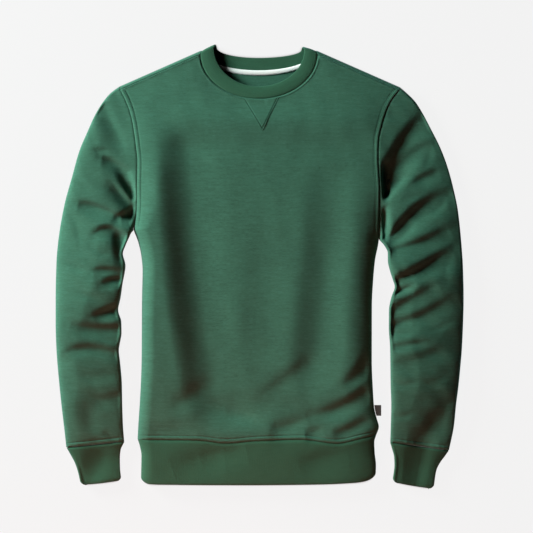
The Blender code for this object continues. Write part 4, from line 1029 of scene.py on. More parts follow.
# %% The hem rib
Band = namedtuple("Band", "share left right middle")
HEM_BANDS = (
    Band(0.00, -195.3, 185.3, 21.0),
    Band(0.13, -192.4, 182.6, 20.6),
    Band(0.38, -189.4, 183.2, 20.0),
    Band(0.70, -189.8, 185.3, 19.0),
    Band(1.00, -190.2, 184.6, 18.0),
)
HEM_EDGE = (
    (-191, -344.8), (-184, -347.2), (-60, -347.4), (100, -346.6), (158, -344.6),
    (178, -341.8), (186, -338.0),
)
HEM_ROUND_LEFT, HEM_ROUND_RIGHT = 20.0, 64.0
HEM_LEFT_SHARE, HEM_RIGHT_SHARE = 0.06, 0.12
HEM_ROWS, HEM_STEPS = 22, 200
HEM_OVERLAP, HEM_ROLL, HEM_CORNER = 1.5, 2.8, 8.0


def hem_columns():
    """Shares of the width over the top, left to right, and underneath, right to left."""
    top_left, top_right = corner_steps(HEM_LEFT_SHARE, 16), corner_steps(HEM_RIGHT_SHARE, 24)
    top = np.linspace(HEM_LEFT_SHARE, 1 - HEM_RIGHT_SHARE, HEM_STEPS)[1:-1]
    corner = corner_steps(BACK_CORNER, 8)
    flat = np.linspace(1 - BACK_CORNER, BACK_CORNER, HEM_STEPS)[1:-1]
    over = np.concatenate([top_left, top, 1 - top_right[::-1]])
    return over, np.concatenate([1 - corner[1:], flat, corner[::-1][:-1]])


def hem_top(x, y, from_left, from_right, from_seam, middle):
    """Heights of the hem's upper side, with the body's folds running on into it."""
    fall = 2 - rise(from_left / HEM_ROUND_LEFT, 1) - rise(from_right / HEM_ROUND_RIGHT, 1)
    base = middle - (middle - SIDE_SEAM_Z) * fall
    free = free_of_sides(from_left, from_right)
    z = pressed(base, fold_depth(BODY_FOLDS, x, y) * free, LOWEST_FOLD_Z)
    return z + seam_relief(from_seam, 0.0) * free


def hem_surface():
    """The hem's outer points, one closed ring a row."""
    shares = np.linspace(0, 1, HEM_ROWS + 1)
    table = smooth_through([b.share for b in HEM_BANDS], [b[1:] for b in HEM_BANDS], shares)
    over, under = hem_columns()
    rows = []
    for share, (left, right, middle) in zip(shares, table):
        x = left + (right - left) * np.concatenate([over, under])
        seam_y = read_line(HEM_SEAM, x) - SEAM_GAP
        y = seam_y + (read_line(HEM_EDGE, x) + HEM_OVERLAP - seam_y) * share
        from_left, from_right = x - left, right - x
        top = hem_top(x, y, from_left, from_right, seam_y - y, middle)
        from_side = np.minimum(from_left, from_right)
        bottom = SIDE_SEAM_Z * (1 - rise(from_side / BACK_EDGE_ROUND, 1))
        z = np.where(np.arange(len(x)) < len(over), top, bottom)
        rows.append(np.stack([x, y, z], axis=1))
    return np.array(rows)


hem_points = rounded_mouth(ribbed(hem_surface()), HEM_ROLL, HEM_CORNER)
hem_rib = cloth("hem_rib_cloth", hem_points, True, RIB)
dress(hem_rib, rib_finish, ["hem_rib"])

# %% [markdown]
# ## Sleeves
#
# A sleeve is one piece, folded round and closed under the arm. Laid down, it is a soft flat
# tube. Each section names a point on the outer edge, one on the inner edge and the height
# between them. `crest` says where across the sleeve it is highest, from 0 at the outer edge to
# 1 at the inner one, and the two falls say how far it drops from there toward each edge. The
# first ring is the armhole itself, and the next sections fan out from it until they are upright
# slices of the sleeve.

# %% Sleeve sections
Section = namedtuple(
    "Section", "outer_x outer_y inner_x inner_y height crest outer_fall inner_fall"
)
SLEEVE_RIGHT_ARM = (
    Section(-224.0, 288.4, -201.9, 59.2, 16.0, 0.30, 0.0, 0.0),
    Section(-238.4, 277.6, -202.2, 58.4, 18.5, 0.30, 0.0, 0.0),
    Section(-251.2, 262.4, -202.7, 57.6, 21.0, 0.30, 0.0, 0.0),
    Section(-264.0, 240.8, -203.2, 57.1, 23.0, 0.30, 0.0, 0.0),
    Section(-275.2, 216.0, -203.8, 56.5, 24.5, 0.35, 1.0, 0.5),
    Section(-288.6, 184.0, -204.5, 56.0, 26.0, 0.45, 2.0, 0.5),
    Section(-300.2, 142.4, -205.4, 54.7, 27.5, 0.55, 3.5, 1.0),
    Section(-311.5, 101.6, -206.7, 52.5, 29.0, 0.60, 5.0, 1.5),
    Section(-319.7, 57.6, -208.6, 48.0, 30.5, 0.60, 6.5, 2.5),
    Section(-322.7, 33.6, -214.7, 34.4, 32.0, 0.60, 7.0, 3.0),
    Section(-324.5, 11.2, -218.9, 20.8, 33.0, 0.60, 7.0, 4.0),
    Section(-325.3, -11.2, -214.7, 1.6, 34.0, 0.58, 6.5, 5.0),
    Section(-325.8, -33.6, -219.5, -27.2, 35.0, 0.55, 6.0, 6.0),
    Section(-325.9, -52.8, -222.4, -48.0, 35.0, 0.50, 5.0, 7.0),
    Section(-325.9, -67.2, -226.4, -68.8, 34.5, 0.45, 4.0, 8.0),
    Section(-325.9, -88.0, -221.4, -88.0, 34.0, 0.38, 2.5, 8.5),
    Section(-325.6, -105.6, -221.1, -105.6, 33.5, 0.32, 1.0, 9.5),
    Section(-324.5, -132.8, -225.3, -132.8, 33.0, 0.30, 1.5, 10.0),
    Section(-323.2, -152.0, -223.4, -152.0, 32.0, 0.30, 2.0, 10.0),
    Section(-320.0, -187.2, -220.5, -187.2, 31.0, 0.30, 2.0, 9.5),
    Section(-316.2, -224.0, -219.8, -224.0, 29.0, 0.22, 0.0, 9.5),
    Section(-312.3, -257.6, -218.6, -256.0, 25.5, 0.22, 0.0, 8.0),
    Section(-309.1, -287.4, -216.8, -278.4, 22.0, 0.20, 0.0, 7.0),
)
SLEEVE_LEFT_ARM = (
    Section(223.0, 287.4, 189.9, 44.0, 15.0, 0.58, 0.0, 0.0),
    Section(235.2, 276.8, 190.4, 43.2, 17.0, 0.58, 1.9, 0.0),
    Section(247.2, 264.8, 190.9, 42.7, 19.0, 0.60, 5.0, 0.0),
    Section(259.2, 246.4, 191.5, 42.2, 21.5, 0.75, 8.5, 0.0),
    Section(273.6, 219.2, 192.3, 41.6, 24.0, 0.85, 12.0, 0.0),
    Section(288.0, 190.4, 193.6, 40.0, 26.0, 0.88, 14.5, 0.0),
    Section(300.0, 158.4, 195.2, 38.4, 28.5, 0.88, 17.0, 0.0),
    Section(309.6, 122.4, 197.3, 36.0, 30.5, 0.88, 18.5, 0.0),
    Section(316.0, 91.2, 200.0, 32.0, 32.0, 0.88, 19.0, 0.0),
    Section(320.0, 56.0, 204.0, 22.4, 33.0, 0.86, 19.0, 0.0),
    Section(322.2, 30.4, 204.2, 9.6, 33.5, 0.82, 18.0, 0.0),
    Section(323.8, 6.4, 207.2, -4.8, 34.0, 0.76, 17.0, 0.5),
    Section(324.6, -17.6, 211.5, -18.4, 35.0, 0.70, 15.0, 1.5),
    Section(325.0, -36.8, 215.2, -32.0, 35.0, 0.70, 15.0, 1.5),
    Section(325.1, -56.0, 209.6, -48.8, 34.5, 0.70, 15.0, 1.5),
    Section(324.6, -78.4, 205.9, -70.4, 34.0, 0.70, 15.0, 1.5),
    Section(323.7, -104.0, 205.8, -97.6, 33.5, 0.70, 15.0, 1.0),
    Section(322.2, -132.8, 207.7, -128.0, 33.0, 0.70, 14.1, 0.5),
    Section(319.8, -160.0, 208.2, -156.8, 32.0, 0.60, 11.2, 0.0),
    Section(316.8, -190.4, 208.6, -188.8, 31.0, 0.60, 9.8, 0.0),
    Section(313.1, -219.2, 209.6, -219.2, 29.0, 0.68, 9.5, 0.0),
    Section(309.8, -252.8, 209.0, -248.0, 25.5, 0.72, 9.0, 0.0),
    Section(301.8, -292.5, 208.0, -279.2, 22.0, 0.75, 8.0, 0.0),
)
print("sections:", len(SLEEVE_RIGHT_ARM), "and", len(SLEEVE_LEFT_ARM))

# %% [markdown]
# ## Creases of the sleeves
#
# Sleeves crease far more than the body, since they bend and hang from the shoulder. The large
# creases start at the inner edge, where the cloth is gathered, and die out across the sleeve.
# Small ones lie between. No two have the same length, width, depth or distance to the next,
# which is what makes cloth look like cloth.

# %% Creases of the sleeves
SLEEVE_FOLDS_RIGHT_ARM = (
    Fold(-254, 259, -241, 235, -221, 192, 10, 16.9, 1.5, 3.4, 1.5),
    Fold(-264, 185, -252, 186, -240, 183, 4, 10.4, 0.6, 2.2, 0.6),
    Fold(-252, 173, -234, 166, -212, 151, 5, 11.7, 1.5, 6.5, 4.5),
    Fold(-223, 149, -211, 131, -199, 112, 9, 6.6, 2.6, 10.5, 13.0),
    Fold(-236, 130, -222, 114, -206, 98, 6, 10.4, 1.6, 6.0, 6.0),
    Fold(-222, 80, -210, 84, -201, 93, 5, 14.3, 6.0, 12.0, 9.0),
    Fold(-290, 102, -262, 95, -232, 82, 5, 14.3, 1.0, 7.4, 4.0),
    Fold(-262, 52, -241, 60, -220, 46, 6, 15.6, 1.8, 7.0, 8.0),
    Fold(-225, 46, -223, 26, -221, 4, 10, 7.7, 6.0, 6.0, 2.0),
    Fold(-267, -7, -245, -5, -221, -9, 5, 11.7, 1.0, 4.4, 4.0),
    Fold(-250, -27, -236, -22, -221, -21, 6, 10.4, 1.5, 6.0, 6.0),
    Fold(-266, -80, -247, -73, -228, -67, 6.5, 13, 1.5, 6.0, 6.0),
    Fold(-302, -92, -264, -99, -227, -99, 8, 15.6, 1.4, 6.0, 5.6),
    Fold(-307, -137, -275, -130, -233, -138, 7, 11.7, 1.4, 4.6, 2.8),
    Fold(-268, -214, -247, -212, -226, -207, 8, 15.6, 0.6, 2.2, 2.0),
    Fold(-262, -268, -270, -240, -268, -214, 15, 15.6, 0.8, 2.4, 1.0),
    Fold(-284, -352, -264, -322, -254, -292, 24, 18.2, 3.4, 4.6, 2.2),
)
SLEEVE_FOLDS_LEFT_ARM = (
    Fold(266, 242, 233, 206, 203, 148, 21.7, 9, 1.6, 6.4, 9.0),
    Fold(276, 194, 242, 178, 207, 148, 17.1, 8, 1.0, 5.5, 8.0),
    Fold(201, 160, 199, 138, 200, 116, 6, 5, 7.0, 11.0, 11.0),
    Fold(286, 152, 265, 144, 242, 132, 14, 5.5, 0.8, 3.4, 1.4),
    Fold(236, 147, 219, 138, 205, 123, 8.4, 4.5, 1.5, 4.0, 4.5),
    Fold(296, 114, 254, 92, 213, 48, 21.7, 9, 1.5, 8.0, 11.0),
    Fold(197, 86, 199, 66, 199, 48, 6, 7, 8.0, 11.0, 7.0),
    Fold(302, 60, 260, 40, 220, 27, 18.6, 7, 1.0, 5.0, 5.0),
    Fold(304, 26, 266, 2, 224, -20, 23.2, 8, 1.5, 7.5, 7.5),
    Fold(243, -30, 230, -36, 216, -39, 7.2, 5, 1.5, 4.4, 5.0),
    Fold(284, -30, 250, -49, 218, -68, 23.2, 11, 1.5, 7.0, 8.0),
    Fold(302, -54, 260, -78, 212, -94, 23.2, 9, 1.5, 6.5, 7.0),
    Fold(268, -120, 242, -123, 218, -127, 8.4, 5.5, 0.8, 3.2, 2.8),
    Fold(293, -131, 259, -146, 224, -153, 17.1, 10, 0.5, 2.6, 2.0),
    Fold(290, -226, 276, -250, 257, -276, 18.6, 12, 1.4, 4.0, 2.5),
    Fold(247, -350, 253, -318, 262, -288, 37.2, 14, 3.4, 5.4, 3.0),
)
SMALL_FOLDS_RIGHT_ARM = (
    Fold(-272, 214, -262, 190, -257, 168, 7, 7, 0.2, 0.7, 0.3),
    Fold(-296, 150, -282, 132, -262, 121, 6, 5, 0.3, 0.9, 0.3),
    Fold(-307, 88, -292, 62, -286, 28, 8, 6, 0.3, 1, 0.3),
    Fold(-278, 46, -262, 27, -246, 20, 5, 5, 0.3, 1, 0.7),
    Fold(-312, 10, -290, -2, -272, -4, 6, 5, 0.2, 0.8, 0.3),
    Fold(-300, -40, -276, -46, -255, -50, 7, 6, 0.3, 1, 0.4),
    Fold(-256, -112, -244, -116, -228, -118, 4, 5, 0.3, 1.1, 0.8),
    Fold(-290, -168, -262, -174, -232, -168, 8, 10, 0.2, 1.0, 0.5),
    Fold(-256, -236, -244, -240, -228, -238, 7, 9, 0.2, 0.8, 0.5),
    Fold(-250, -262, -242, -268, -232, -279, 5, 5, 0.3, 1.3, 1.1),
)
SMALL_FOLDS_LEFT_ARM = (
    Fold(250, 222, 232, 196, 222, 170, 7, 7, 0.2, 0.8, 0.3),
    Fold(276, 196, 268, 170, 262, 158, 6, 6, 0.2, 0.7, 0.3),
    Fold(300, 120, 284, 92, 262, 82, 6, 6, 0.3, 1, 0.4),
    Fold(262, 118, 246, 112, 232, 110, 5, 5, 0.3, 1, 0.6),
    Fold(244, 66, 226, 48, 212, 40, 5, 5, 0.3, 1.4, 1),
    Fold(312, 34, 300, 8, 296, -24, 7, 7, 0.3, 0.8, 0.3),
    Fold(256, -6, 240, -14, 226, -8, 5, 5, 0.3, 1.1, 0.7),
    Fold(308, -84, 284, -98, 262, -102, 6, 6, 0.3, 0.9, 0.4),
    Fold(246, -100, 230, -106, 214, -104, 5, 5, 0.3, 1.3, 0.8),
    Fold(300, -168, 282, -182, 262, -186, 7, 7, 0.2, 0.8, 0.3),
    Fold(250, -182, 232, -188, 214, -184, 5, 5, 0.3, 1, 0.7),
    Fold(304, -214, 292, -236, 290, -262, 7, 7, 0.3, 1, 0.4),
    Fold(244, -232, 228, -238, 214, -236, 5, 5, 0.3, 1.1, 0.8),
)
print("creases:", len(SLEEVE_FOLDS_RIGHT_ARM) + len(SMALL_FOLDS_RIGHT_ARM), "and",
      len(SLEEVE_FOLDS_LEFT_ARM) + len(SMALL_FOLDS_LEFT_ARM))

# %% [markdown]
# ## Rings of a sleeve
#
# Every ring has the same number of points, or the rings could not be joined into quads. A ring
# goes over the top, round the inner edge and back underneath. Its upper half is a rounded
# rectangle, whose `fullness` says how square its shoulders are. Rings lie closer together just
# above the cuff, where the seam and its stitches are narrow.

# %% Sleeve rings
ARMHOLE_STEPS, TIP_STEPS, UNDER_STEPS = 60, 6, 9
UNDER_CORNER = 0.085
OUTER_FULLNESS, INNER_FULLNESS = 5.4, 7.0
OUTER_FALL_BEND, INNER_FALL_BEND = 1.15, 1.3
FAN_SECTIONS = 3.5
RINGS_NEAR_CUFF, RINGS_BY_CUFF = 4, 14
ARMHOLE_GAP = 0.4
SLEEVE_SEAM_FREE, SLEEVE_EDGE_FREE = 10.0, 7.0


def ring_shares():
    """Where a ring's points lie between outer and inner edge: over the top, then back under."""
    over = (1 - np.cos(np.linspace(0, np.pi, ARMHOLE_STEPS + TIP_STEPS + 1))) / 2
    corner = corner_steps(UNDER_CORNER, UNDER_STEPS)[1:]
    flat_steps = ARMHOLE_STEPS + TIP_STEPS + 1 - 2 * UNDER_STEPS
    flat = np.linspace(1 - corner[-1], corner[-1], flat_steps)[1:-1]
    return over, np.concatenate([1 - corner, flat, corner[::-1]])


def ring_heights(over, under, width, table):
    """Heights of a ring: over the top, falling off from its crest, and flat underneath."""
    height, crest, outer_fall, inner_fall = (table[:, k : k + 1] for k in range(4))
    outward = np.clip(np.abs(2 * over - 1), 0, 1)
    power = OUTER_FULLNESS + (INNER_FULLNESS - OUTER_FULLNESS) * ease(over)
    full = (1 - outward**power) ** (1 / power)
    to_outer = np.clip(1 - over / crest, 0, 1) ** OUTER_FALL_BEND
    to_inner = np.clip((over - crest) / (1 - crest), 0, 1) ** INNER_FALL_BEND
    crown = height - outer_fall * to_outer - inner_fall * to_inner
    top = SIDE_SEAM_Z + (crown - SIDE_SEAM_Z) * full
    near = np.minimum(under, 1 - under) * width
    return top, SIDE_SEAM_Z * (1 - rise(near / BACK_EDGE_ROUND, 1))


def armhole_ring(tip, armhole):
    """The sleeve's first ring: round the shoulder tip and along the edges of both panels."""
    line = along(armhole, np.linspace(0, 1, ARMHOLE_STEPS + 1))
    front, back = armhole_heights(np.linspace(0, 1, ARMHOLE_STEPS + 1)).T
    turn = np.linspace(0, np.pi / 2, TIP_STEPS + 1)
    y = tip[1] - SHOULDER_FOLD * (1 - np.cos(turn))
    z = SHOULDER_FOLD_Z * np.sin(turn)
    tip_x = np.full_like(turn, tip[0])
    over = np.column_stack([tip_x, y, SHOULDER_FOLD_Z + z])[:-1]
    under = np.column_stack([tip_x, y, SHOULDER_FOLD_Z - z])[:0:-1]
    top = np.column_stack([line, front])[::-1]
    bottom = np.column_stack([line, back])[1:-1]
    return np.concatenate([over, top, bottom, under])


def tube_plan(sections, rings, armhole):
    """A tube's rings before the folds: plan, heights, freedom to fold, distance from seams."""
    at = np.linspace(0, len(sections) - 1, rings + 1)
    if armhole:
        at = np.append(
            at[:-RINGS_NEAR_CUFF], np.linspace(at[-RINGS_NEAR_CUFF], at[-1], RINGS_BY_CUFF)
        )
    table = smooth_through(np.arange(len(sections)), np.array(sections, float), at)
    over, under = ring_shares()
    shares = np.concatenate([over, under])
    start, end = table[:, None, 0:2], table[:, None, 2:4]
    place = np.repeat(shares[None], len(at), axis=0)
    settled, first, bulge, shift = np.ones((len(at), 1)), 0, 0, 0
    if armhole:
        settled = ease(at / FAN_SECTIONS)[:, None]
        tip, chord = start[0, 0], end[0, 0] - start[0, 0]
        ring = armhole_ring(tip, armhole)
        first_shares = ((ring[:, :2] - tip) @ chord) / (chord @ chord)
        bulge = ring[:, :2] - (tip + first_shares[:, None] * chord)
        place = first_shares + (shares - first_shares) * settled
        first = ring[:, 2]
        shift = np.sign(tip[0]) * ARMHOLE_GAP * (1 - settled)
    width = np.linalg.norm(end - start, axis=2)
    count = len(over)
    top, bottom = ring_heights(place[:, :count], place[:, count:], width, table[:, 4:8])
    base = np.concatenate([top, bottom], axis=1)
    base = first + (base - first) * settled
    plan = start + place[..., None] * (end - start) + (bulge * (1 - settled)[..., None])
    plan[..., 0] += shift
    free = ease(np.minimum(place, 1 - place) * width / SLEEVE_EDGE_FREE)
    free[:, count:] = 0
    from_seam = np.full_like(free, FAR)
    if armhole:
        line_x, line_y = along(armhole, np.linspace(0, 1, 80)).T
        from_seam = nearest_on_line(line_x, line_y, plan[..., 0], plan[..., 1])[0]
        free = free * ease(from_seam / SLEEVE_SEAM_FREE)
    return plan, base, free, from_seam, count


print("points in a ring:", sum(len(half) for half in ring_shares()))

# %% [markdown]
# ## The sleeves as cloth
#
# The folds are pressed into the rings, and the seams pull the cloth in beside the armhole and
# above the cuff. The map runs round the sleeve one way and up the garment the other, so the
# streaks of the knit lie across both sleeves as they do across the body.

# %% The sleeves
SLEEVE_RINGS_PER_SECTION = 10
SLEEVE_RIPPLE, CUFF_SEAM_BAND = 0.28, 0.35


def sleeve_surface(sections, folds, armhole):
    """A sleeve's outer points with its folds, seams and puckers."""
    rings = SLEEVE_RINGS_PER_SECTION * (len(sections) - 1)
    plan, base, free, from_seam, count = tube_plan(sections, rings, armhole)
    x, y = plan[..., 0], plan[..., 1]
    z = pressed(base, fold_depth(folds, x, y) * free, LOWEST_FOLD_Z)
    z = np.where(free > 0, z, base)
    points = np.dstack([x, y, z])
    above = np.ones_like(z)
    above[:, count:] = 0
    z = z + SLEEVE_RIPPLE * ripple(x, y, seed=31, waves=9, length=30.0, slant=1.2) * free
    at_armhole = seam_relief(from_seam, 0.0) + puckers(from_seam, y, 32)
    z = z + at_armhole * above * ease(from_seam)
    from_cuff = np.linalg.norm(points - points[-1], axis=2)
    gathers = np.exp(-((from_cuff / PUCKER_REACH) ** 2)) * ease(from_cuff / PUCKER_START)
    wave = ripple(x, 0.2 * y, seed=33, waves=5, length=9.0, slant=0.0)
    at_cuff = PUCKER * wave * gathers
    z = z + (at_cuff + seam_relief(from_cuff, CUFF_SEAM_BAND)) * free
    points[..., 2] = np.where(above > 0, z, points[..., 2])
    return points


for side, sections, folds, armhole, flat, area in (
    ("r", SLEEVE_RIGHT_ARM, SLEEVE_FOLDS_RIGHT_ARM + SMALL_FOLDS_RIGHT_ARM, ARMHOLE_LEFT,
     (0.46, 0.60), 0.125),
    ("l", SLEEVE_LEFT_ARM, SLEEVE_FOLDS_LEFT_ARM + SMALL_FOLDS_LEFT_ARM, ARMHOLE_RIGHT,
     (0.48, 0.60), 0.136),
):
    points = sleeve_surface(sections, folds, armhole)
    round_it = cloth_lengths(points, True)[0]
    up_it = np.concatenate([points[..., 1], points[:, :1, 1]], axis=1)
    sleeve = cloth("sleeve_" + side + "_cloth", points, True, FLEECE, (round_it, up_it))
    dress(sleeve, fleece_finish, ["sleeve_" + side])

# %% [markdown]
# ## Cuffs
#
# A cuff is a short doubled tube of rib. It is made as the hem is: a plain tube through its
# sections, ribs spread round it, and a rolled free edge.

# %% The cuffs
CUFF_RIGHT_ARM = (
    Section(-308.5, -288.6, -216.6, -279.2, 22.0, 0.20, 0.0, 7.0),
    Section(-301.6, -300.8, -222.6, -292.8, 20.8, 0.18, 0.0, 8.5),
    Section(-295.7, -312.0, -223.7, -305.6, 19.8, 0.15, 0.0, 9.0),
    Section(-290.7, -326.4, -223.4, -321.6, 18.8, 0.15, 0.0, 8.0),
    Section(-286.0, -347.6, -221.3, -340.6, 18.0, 0.15, 0.0, 7.0),
)
CUFF_LEFT_ARM = (
    Section(301.3, -293.4, 207.8, -280.2, 22.0, 0.75, 8.0, 0.0),
    Section(295.7, -301.6, 210.9, -290.4, 21.0, 0.80, 8.5, 0.0),
    Section(287.5, -312.8, 214.1, -303.2, 19.8, 0.80, 9.0, 0.0),
    Section(281.6, -325.6, 214.7, -316.8, 18.8, 0.80, 8.5, 0.0),
    Section(277.4, -354.0, 211.4, -342.6, 18.0, 0.80, 8.0, 0.0),
)
CUFF_RINGS = 24
CUFF_ROLL, CUFF_CORNER = 1.5, 6.0

for side, sections, folds in (
    ("r", CUFF_RIGHT_ARM, SLEEVE_FOLDS_RIGHT_ARM),
    ("l", CUFF_LEFT_ARM, SLEEVE_FOLDS_LEFT_ARM),
):
    plan, base, free, _, count = tube_plan(sections, CUFF_RINGS, None)
    x, y = plan[..., 0], plan[..., 1]
    z = np.where(free > 0, pressed(base, fold_depth(folds, x, y) * free, LOWEST_FOLD_Z), base)
    from_seam = np.linalg.norm(plan - plan[0], axis=2)
    z = z - DITCH * np.exp(-((from_seam / DITCH_WIDTH) ** 2)) * free
    points = rounded_mouth(ribbed(np.dstack([x, y, z])), CUFF_ROLL, CUFF_CORNER)
    cuff = cloth("cuff_" + side + "_cloth", points, True, RIB)
    dress(cuff, rib_finish, ["cuff_" + side])

# %% [markdown]
# ## The collar
#
# The collar is a folded rib band a little shorter than the neckline, so it stands up inward
# and cups round the neck. Its section is a shallow arch from the seam to the free edge. At the
# shoulders the band turns over with the fold, so each point has its own facing direction.

# %% The collar
COLLAR_CAMBER, COLLAR_DITCH, COLLAR_DITCH_SHARE = 0.9, 0.5, 0.04
COLLAR_ROWS, COLLAR_ROLL = 16, 1.1
COLLAR_RIB_PITCH, COLLAR_RIB_HEIGHT = 2.4, 0.12


def collar_surface():
    """The collar's outer points, one ring a row, from its seam to its free edge."""
    _, seam, angles = neck_ring(NECK_SEAM)
    edge = neck_ring(COLLAR_EDGE)[1]
    turn = np.radians(angles)
    toward = edge[:, :2] - seam[:, :2]
    toward /= np.linalg.norm(toward, axis=1)[:, None]
    sideways = np.stack([-toward[:, 1], toward[:, 0]], axis=1)
    sideways *= np.where(sideways[:, 1] < 0, -1, 1)[:, None]
    flat = sideways * np.cos(turn)[:, None]
    facing = np.column_stack([flat, np.sin(turn)])
    camber = COLLAR_CAMBER * (1 + np.sin(turn)) / 2
    rows = []
    for share in np.linspace(0, 1, COLLAR_ROWS + 1):
        ditch = COLLAR_DITCH * np.exp(-((share / COLLAR_DITCH_SHARE) ** 2)) * np.sin(turn)
        lift = 4 * share * (1 - share) * camber - ditch
        rows.append(seam + (edge - seam) * share + facing * lift[:, None])
    return np.array(rows)


collar_ribs = ribbed(collar_surface(), COLLAR_RIB_PITCH, COLLAR_RIB_HEIGHT)
collar_points = rounded_mouth(collar_ribs, COLLAR_ROLL)
collar = cloth("collar_cloth", collar_points, True, RIB)
dress(collar, rib_finish, ["collar"])

# %% [markdown]
# ## The V insert
#
# Under the front of the collar sits a small triangle of the body cloth, laid on top and
# stitched down along its edges. It takes its points from the front panel itself, lifted by the
# thickness of the cloth, so it can't sink into it. A groove a little inside its edges shows
# where the stitches pull it down.

# %% The V insert
INSERT_LEFT, INSERT_RIGHT, INSERT_APEX = 0.441, 0.568, 0.512
INSERT_TOP_ROW, INSERT_APEX_ROW = 1.995, 1.755
INSERT_LIFT, INSERT_THICKNESS, INSERT_STEPS = 0.75, 0.7, 36
INSERT_GROOVE_AT, INSERT_GROOVE_WIDTH, INSERT_GROOVE_LIFT = 1.5, 0.7, 0.05


def toward_edges(steps):
    """Shares from 0 to 1 that lie close together near both ends."""
    return (1 - np.cos(np.linspace(0, np.pi, steps + 1))) / 2


def insert_row(step):
    """One row of the front panel's points between the insert's two edges."""
    row = INSERT_TOP_ROW + (INSERT_APEX_ROW - INSERT_TOP_ROW) * step
    left = INSERT_LEFT + (INSERT_APEX - 0.001 - INSERT_LEFT) * step
    right = INSERT_RIGHT + (INSERT_APEX + 0.001 - INSERT_RIGHT) * step
    columns = np.concatenate([[0], left + (right - left) * toward_edges(INSERT_STEPS), [1]])
    return front_surface(np.array([row, 2.0]), columns)[0, 1:-1]


insert_points = np.array([insert_row(step) for step in np.linspace(0, 1, INSERT_STEPS + 1)])
half_width = np.linalg.norm(insert_points[:, -1] - insert_points[:, 0], axis=1)[:, None] / 2
from_edge = half_width * (1 - np.abs(2 * toward_edges(INSERT_STEPS) - 1))[None]
groove = np.exp(-(((from_edge - INSERT_GROOVE_AT) / INSERT_GROOVE_WIDTH) ** 2))
insert_points[..., 2] += INSERT_LIFT - (INSERT_LIFT - INSERT_GROOVE_LIFT) * groove
insert = cloth(
    "v_insert_cloth", insert_points, False, INSERT_THICKNESS, plan_map(insert_points)
)
dress(insert, fleece_finish, ["v_insert"])

# %% [markdown]
# ## Neck tape and side tab
#
# A woven tape covers the back neck seam so that it doesn't rub. It is a narrow arched strip on
# the inside of the back, stitched along both edges. The tab is a folded piece of ribbon caught
# in the side seam, left blank.

# %% The neck tape
TAPE_WIDTH, TAPE_THICKNESS, TAPE_HALF_SPAN = 8.0, 0.9, 67.0
TAPE_ROWS, TAPE_STEPS = 10, 120
TAPE_Z, TAPE_TILT, TAPE_ARCH, TAPE_PULL, TAPE_WALL = 3.0, 0.25, 0.7, 0.12, 0.8


def tape_line(offset):
    """Points of the back neck seam moved across it by offset, with their x kept."""
    x = NECK_SEAM.centre + TAPE_HALF_SPAN * np.linspace(-1, 1, TAPE_STEPS + 1)
    half = NECK_SEAM.half * (1 - WRAP_NARROWING)
    top = NECK_SEAM.fold_left - SHOULDER_FOLD
    y = top - (top - NECK_SEAM.back) * np.sqrt(1 - ((x - NECK_SEAM.centre) / half) ** 2)
    return x, y + offset


tape_rows = []
for across in np.linspace(-1, 1, TAPE_ROWS + 1):
    x, y = tape_line(across * TAPE_WIDTH / 2)
    low = TAPE_Z + TAPE_TILT * across
    arch = TAPE_ARCH * (1 - across**2) + TAPE_THICKNESS * np.sqrt(max(1 - across**4, 0.02))
    wave = ripple(x, 0 * x, seed=51, waves=4, length=5.0, slant=0.0)
    pull = TAPE_PULL * wave * abs(across)
    tape_rows.append(np.stack([x, y, low + arch + pull], axis=1))
tape = cloth("neck_tape_cloth", np.array(tape_rows), False, TAPE_WALL)
dress(tape, tape_finish, ["neck_tape"])

# %% The side tab
LABEL_LOW, LABEL_HIGH, LABEL_ROWS = -237.6, -220.5, 17
LABEL_GAP, LABEL_REACH, LABEL_THICKNESS, LABEL_BEND, LABEL_WALL = 0.7, 9.6, 1.2, 0.6, 0.35
label_y = np.linspace(LABEL_HIGH, LABEL_LOW, LABEL_ROWS)
side_line = along(SIDE_RIGHT, np.linspace(0, 1, 60))
label_start = np.interp(label_y, side_line[:, 1], side_line[:, 0]) + LABEL_GAP
label_end = label_start.mean() + LABEL_REACH - LABEL_BEND


def label_row(x, up):
    """One row of the tab at x, with up from -1 for its lower layer to 1 for its upper one."""
    height = SIDE_SEAM_Z + LABEL_THICKNESS / 2 * up
    return np.stack([x + 0 * label_y, label_y, np.full_like(label_y, height)], axis=1)


reach = [label_start + (label_end - label_start) * share for share in np.linspace(0, 1, 9)[:-1]]
bend = np.linspace(-np.pi / 2, np.pi / 2, 9)
label_points = np.array(
    [label_row(x, -1) for x in reach]
    + [label_row(label_end + LABEL_BEND * np.cos(turn), np.sin(turn)) for turn in bend]
    + [label_row(x, 1) for x in reach[::-1]]
)
label = cloth("side_label_cloth", label_points, False, LABEL_WALL)
dress(label, tab_finish, ["side_label"])

# %% [markdown]
# ## Stitches
#
# A stitch is modelled once: a short rod with tapered ends, from a cylinder with six sides. Its
# copies are laid along a line on the cloth, each turned to the line and sunk by a third, and
# joined into one mesh. With twenty faces each, a few hundred of them stay light.

# %% One stitch
STITCH_LENGTH, STITCH_GAP, STITCH_RADIUS, STITCH_LIFT = 2.7, 0.9, 0.34, 0.1


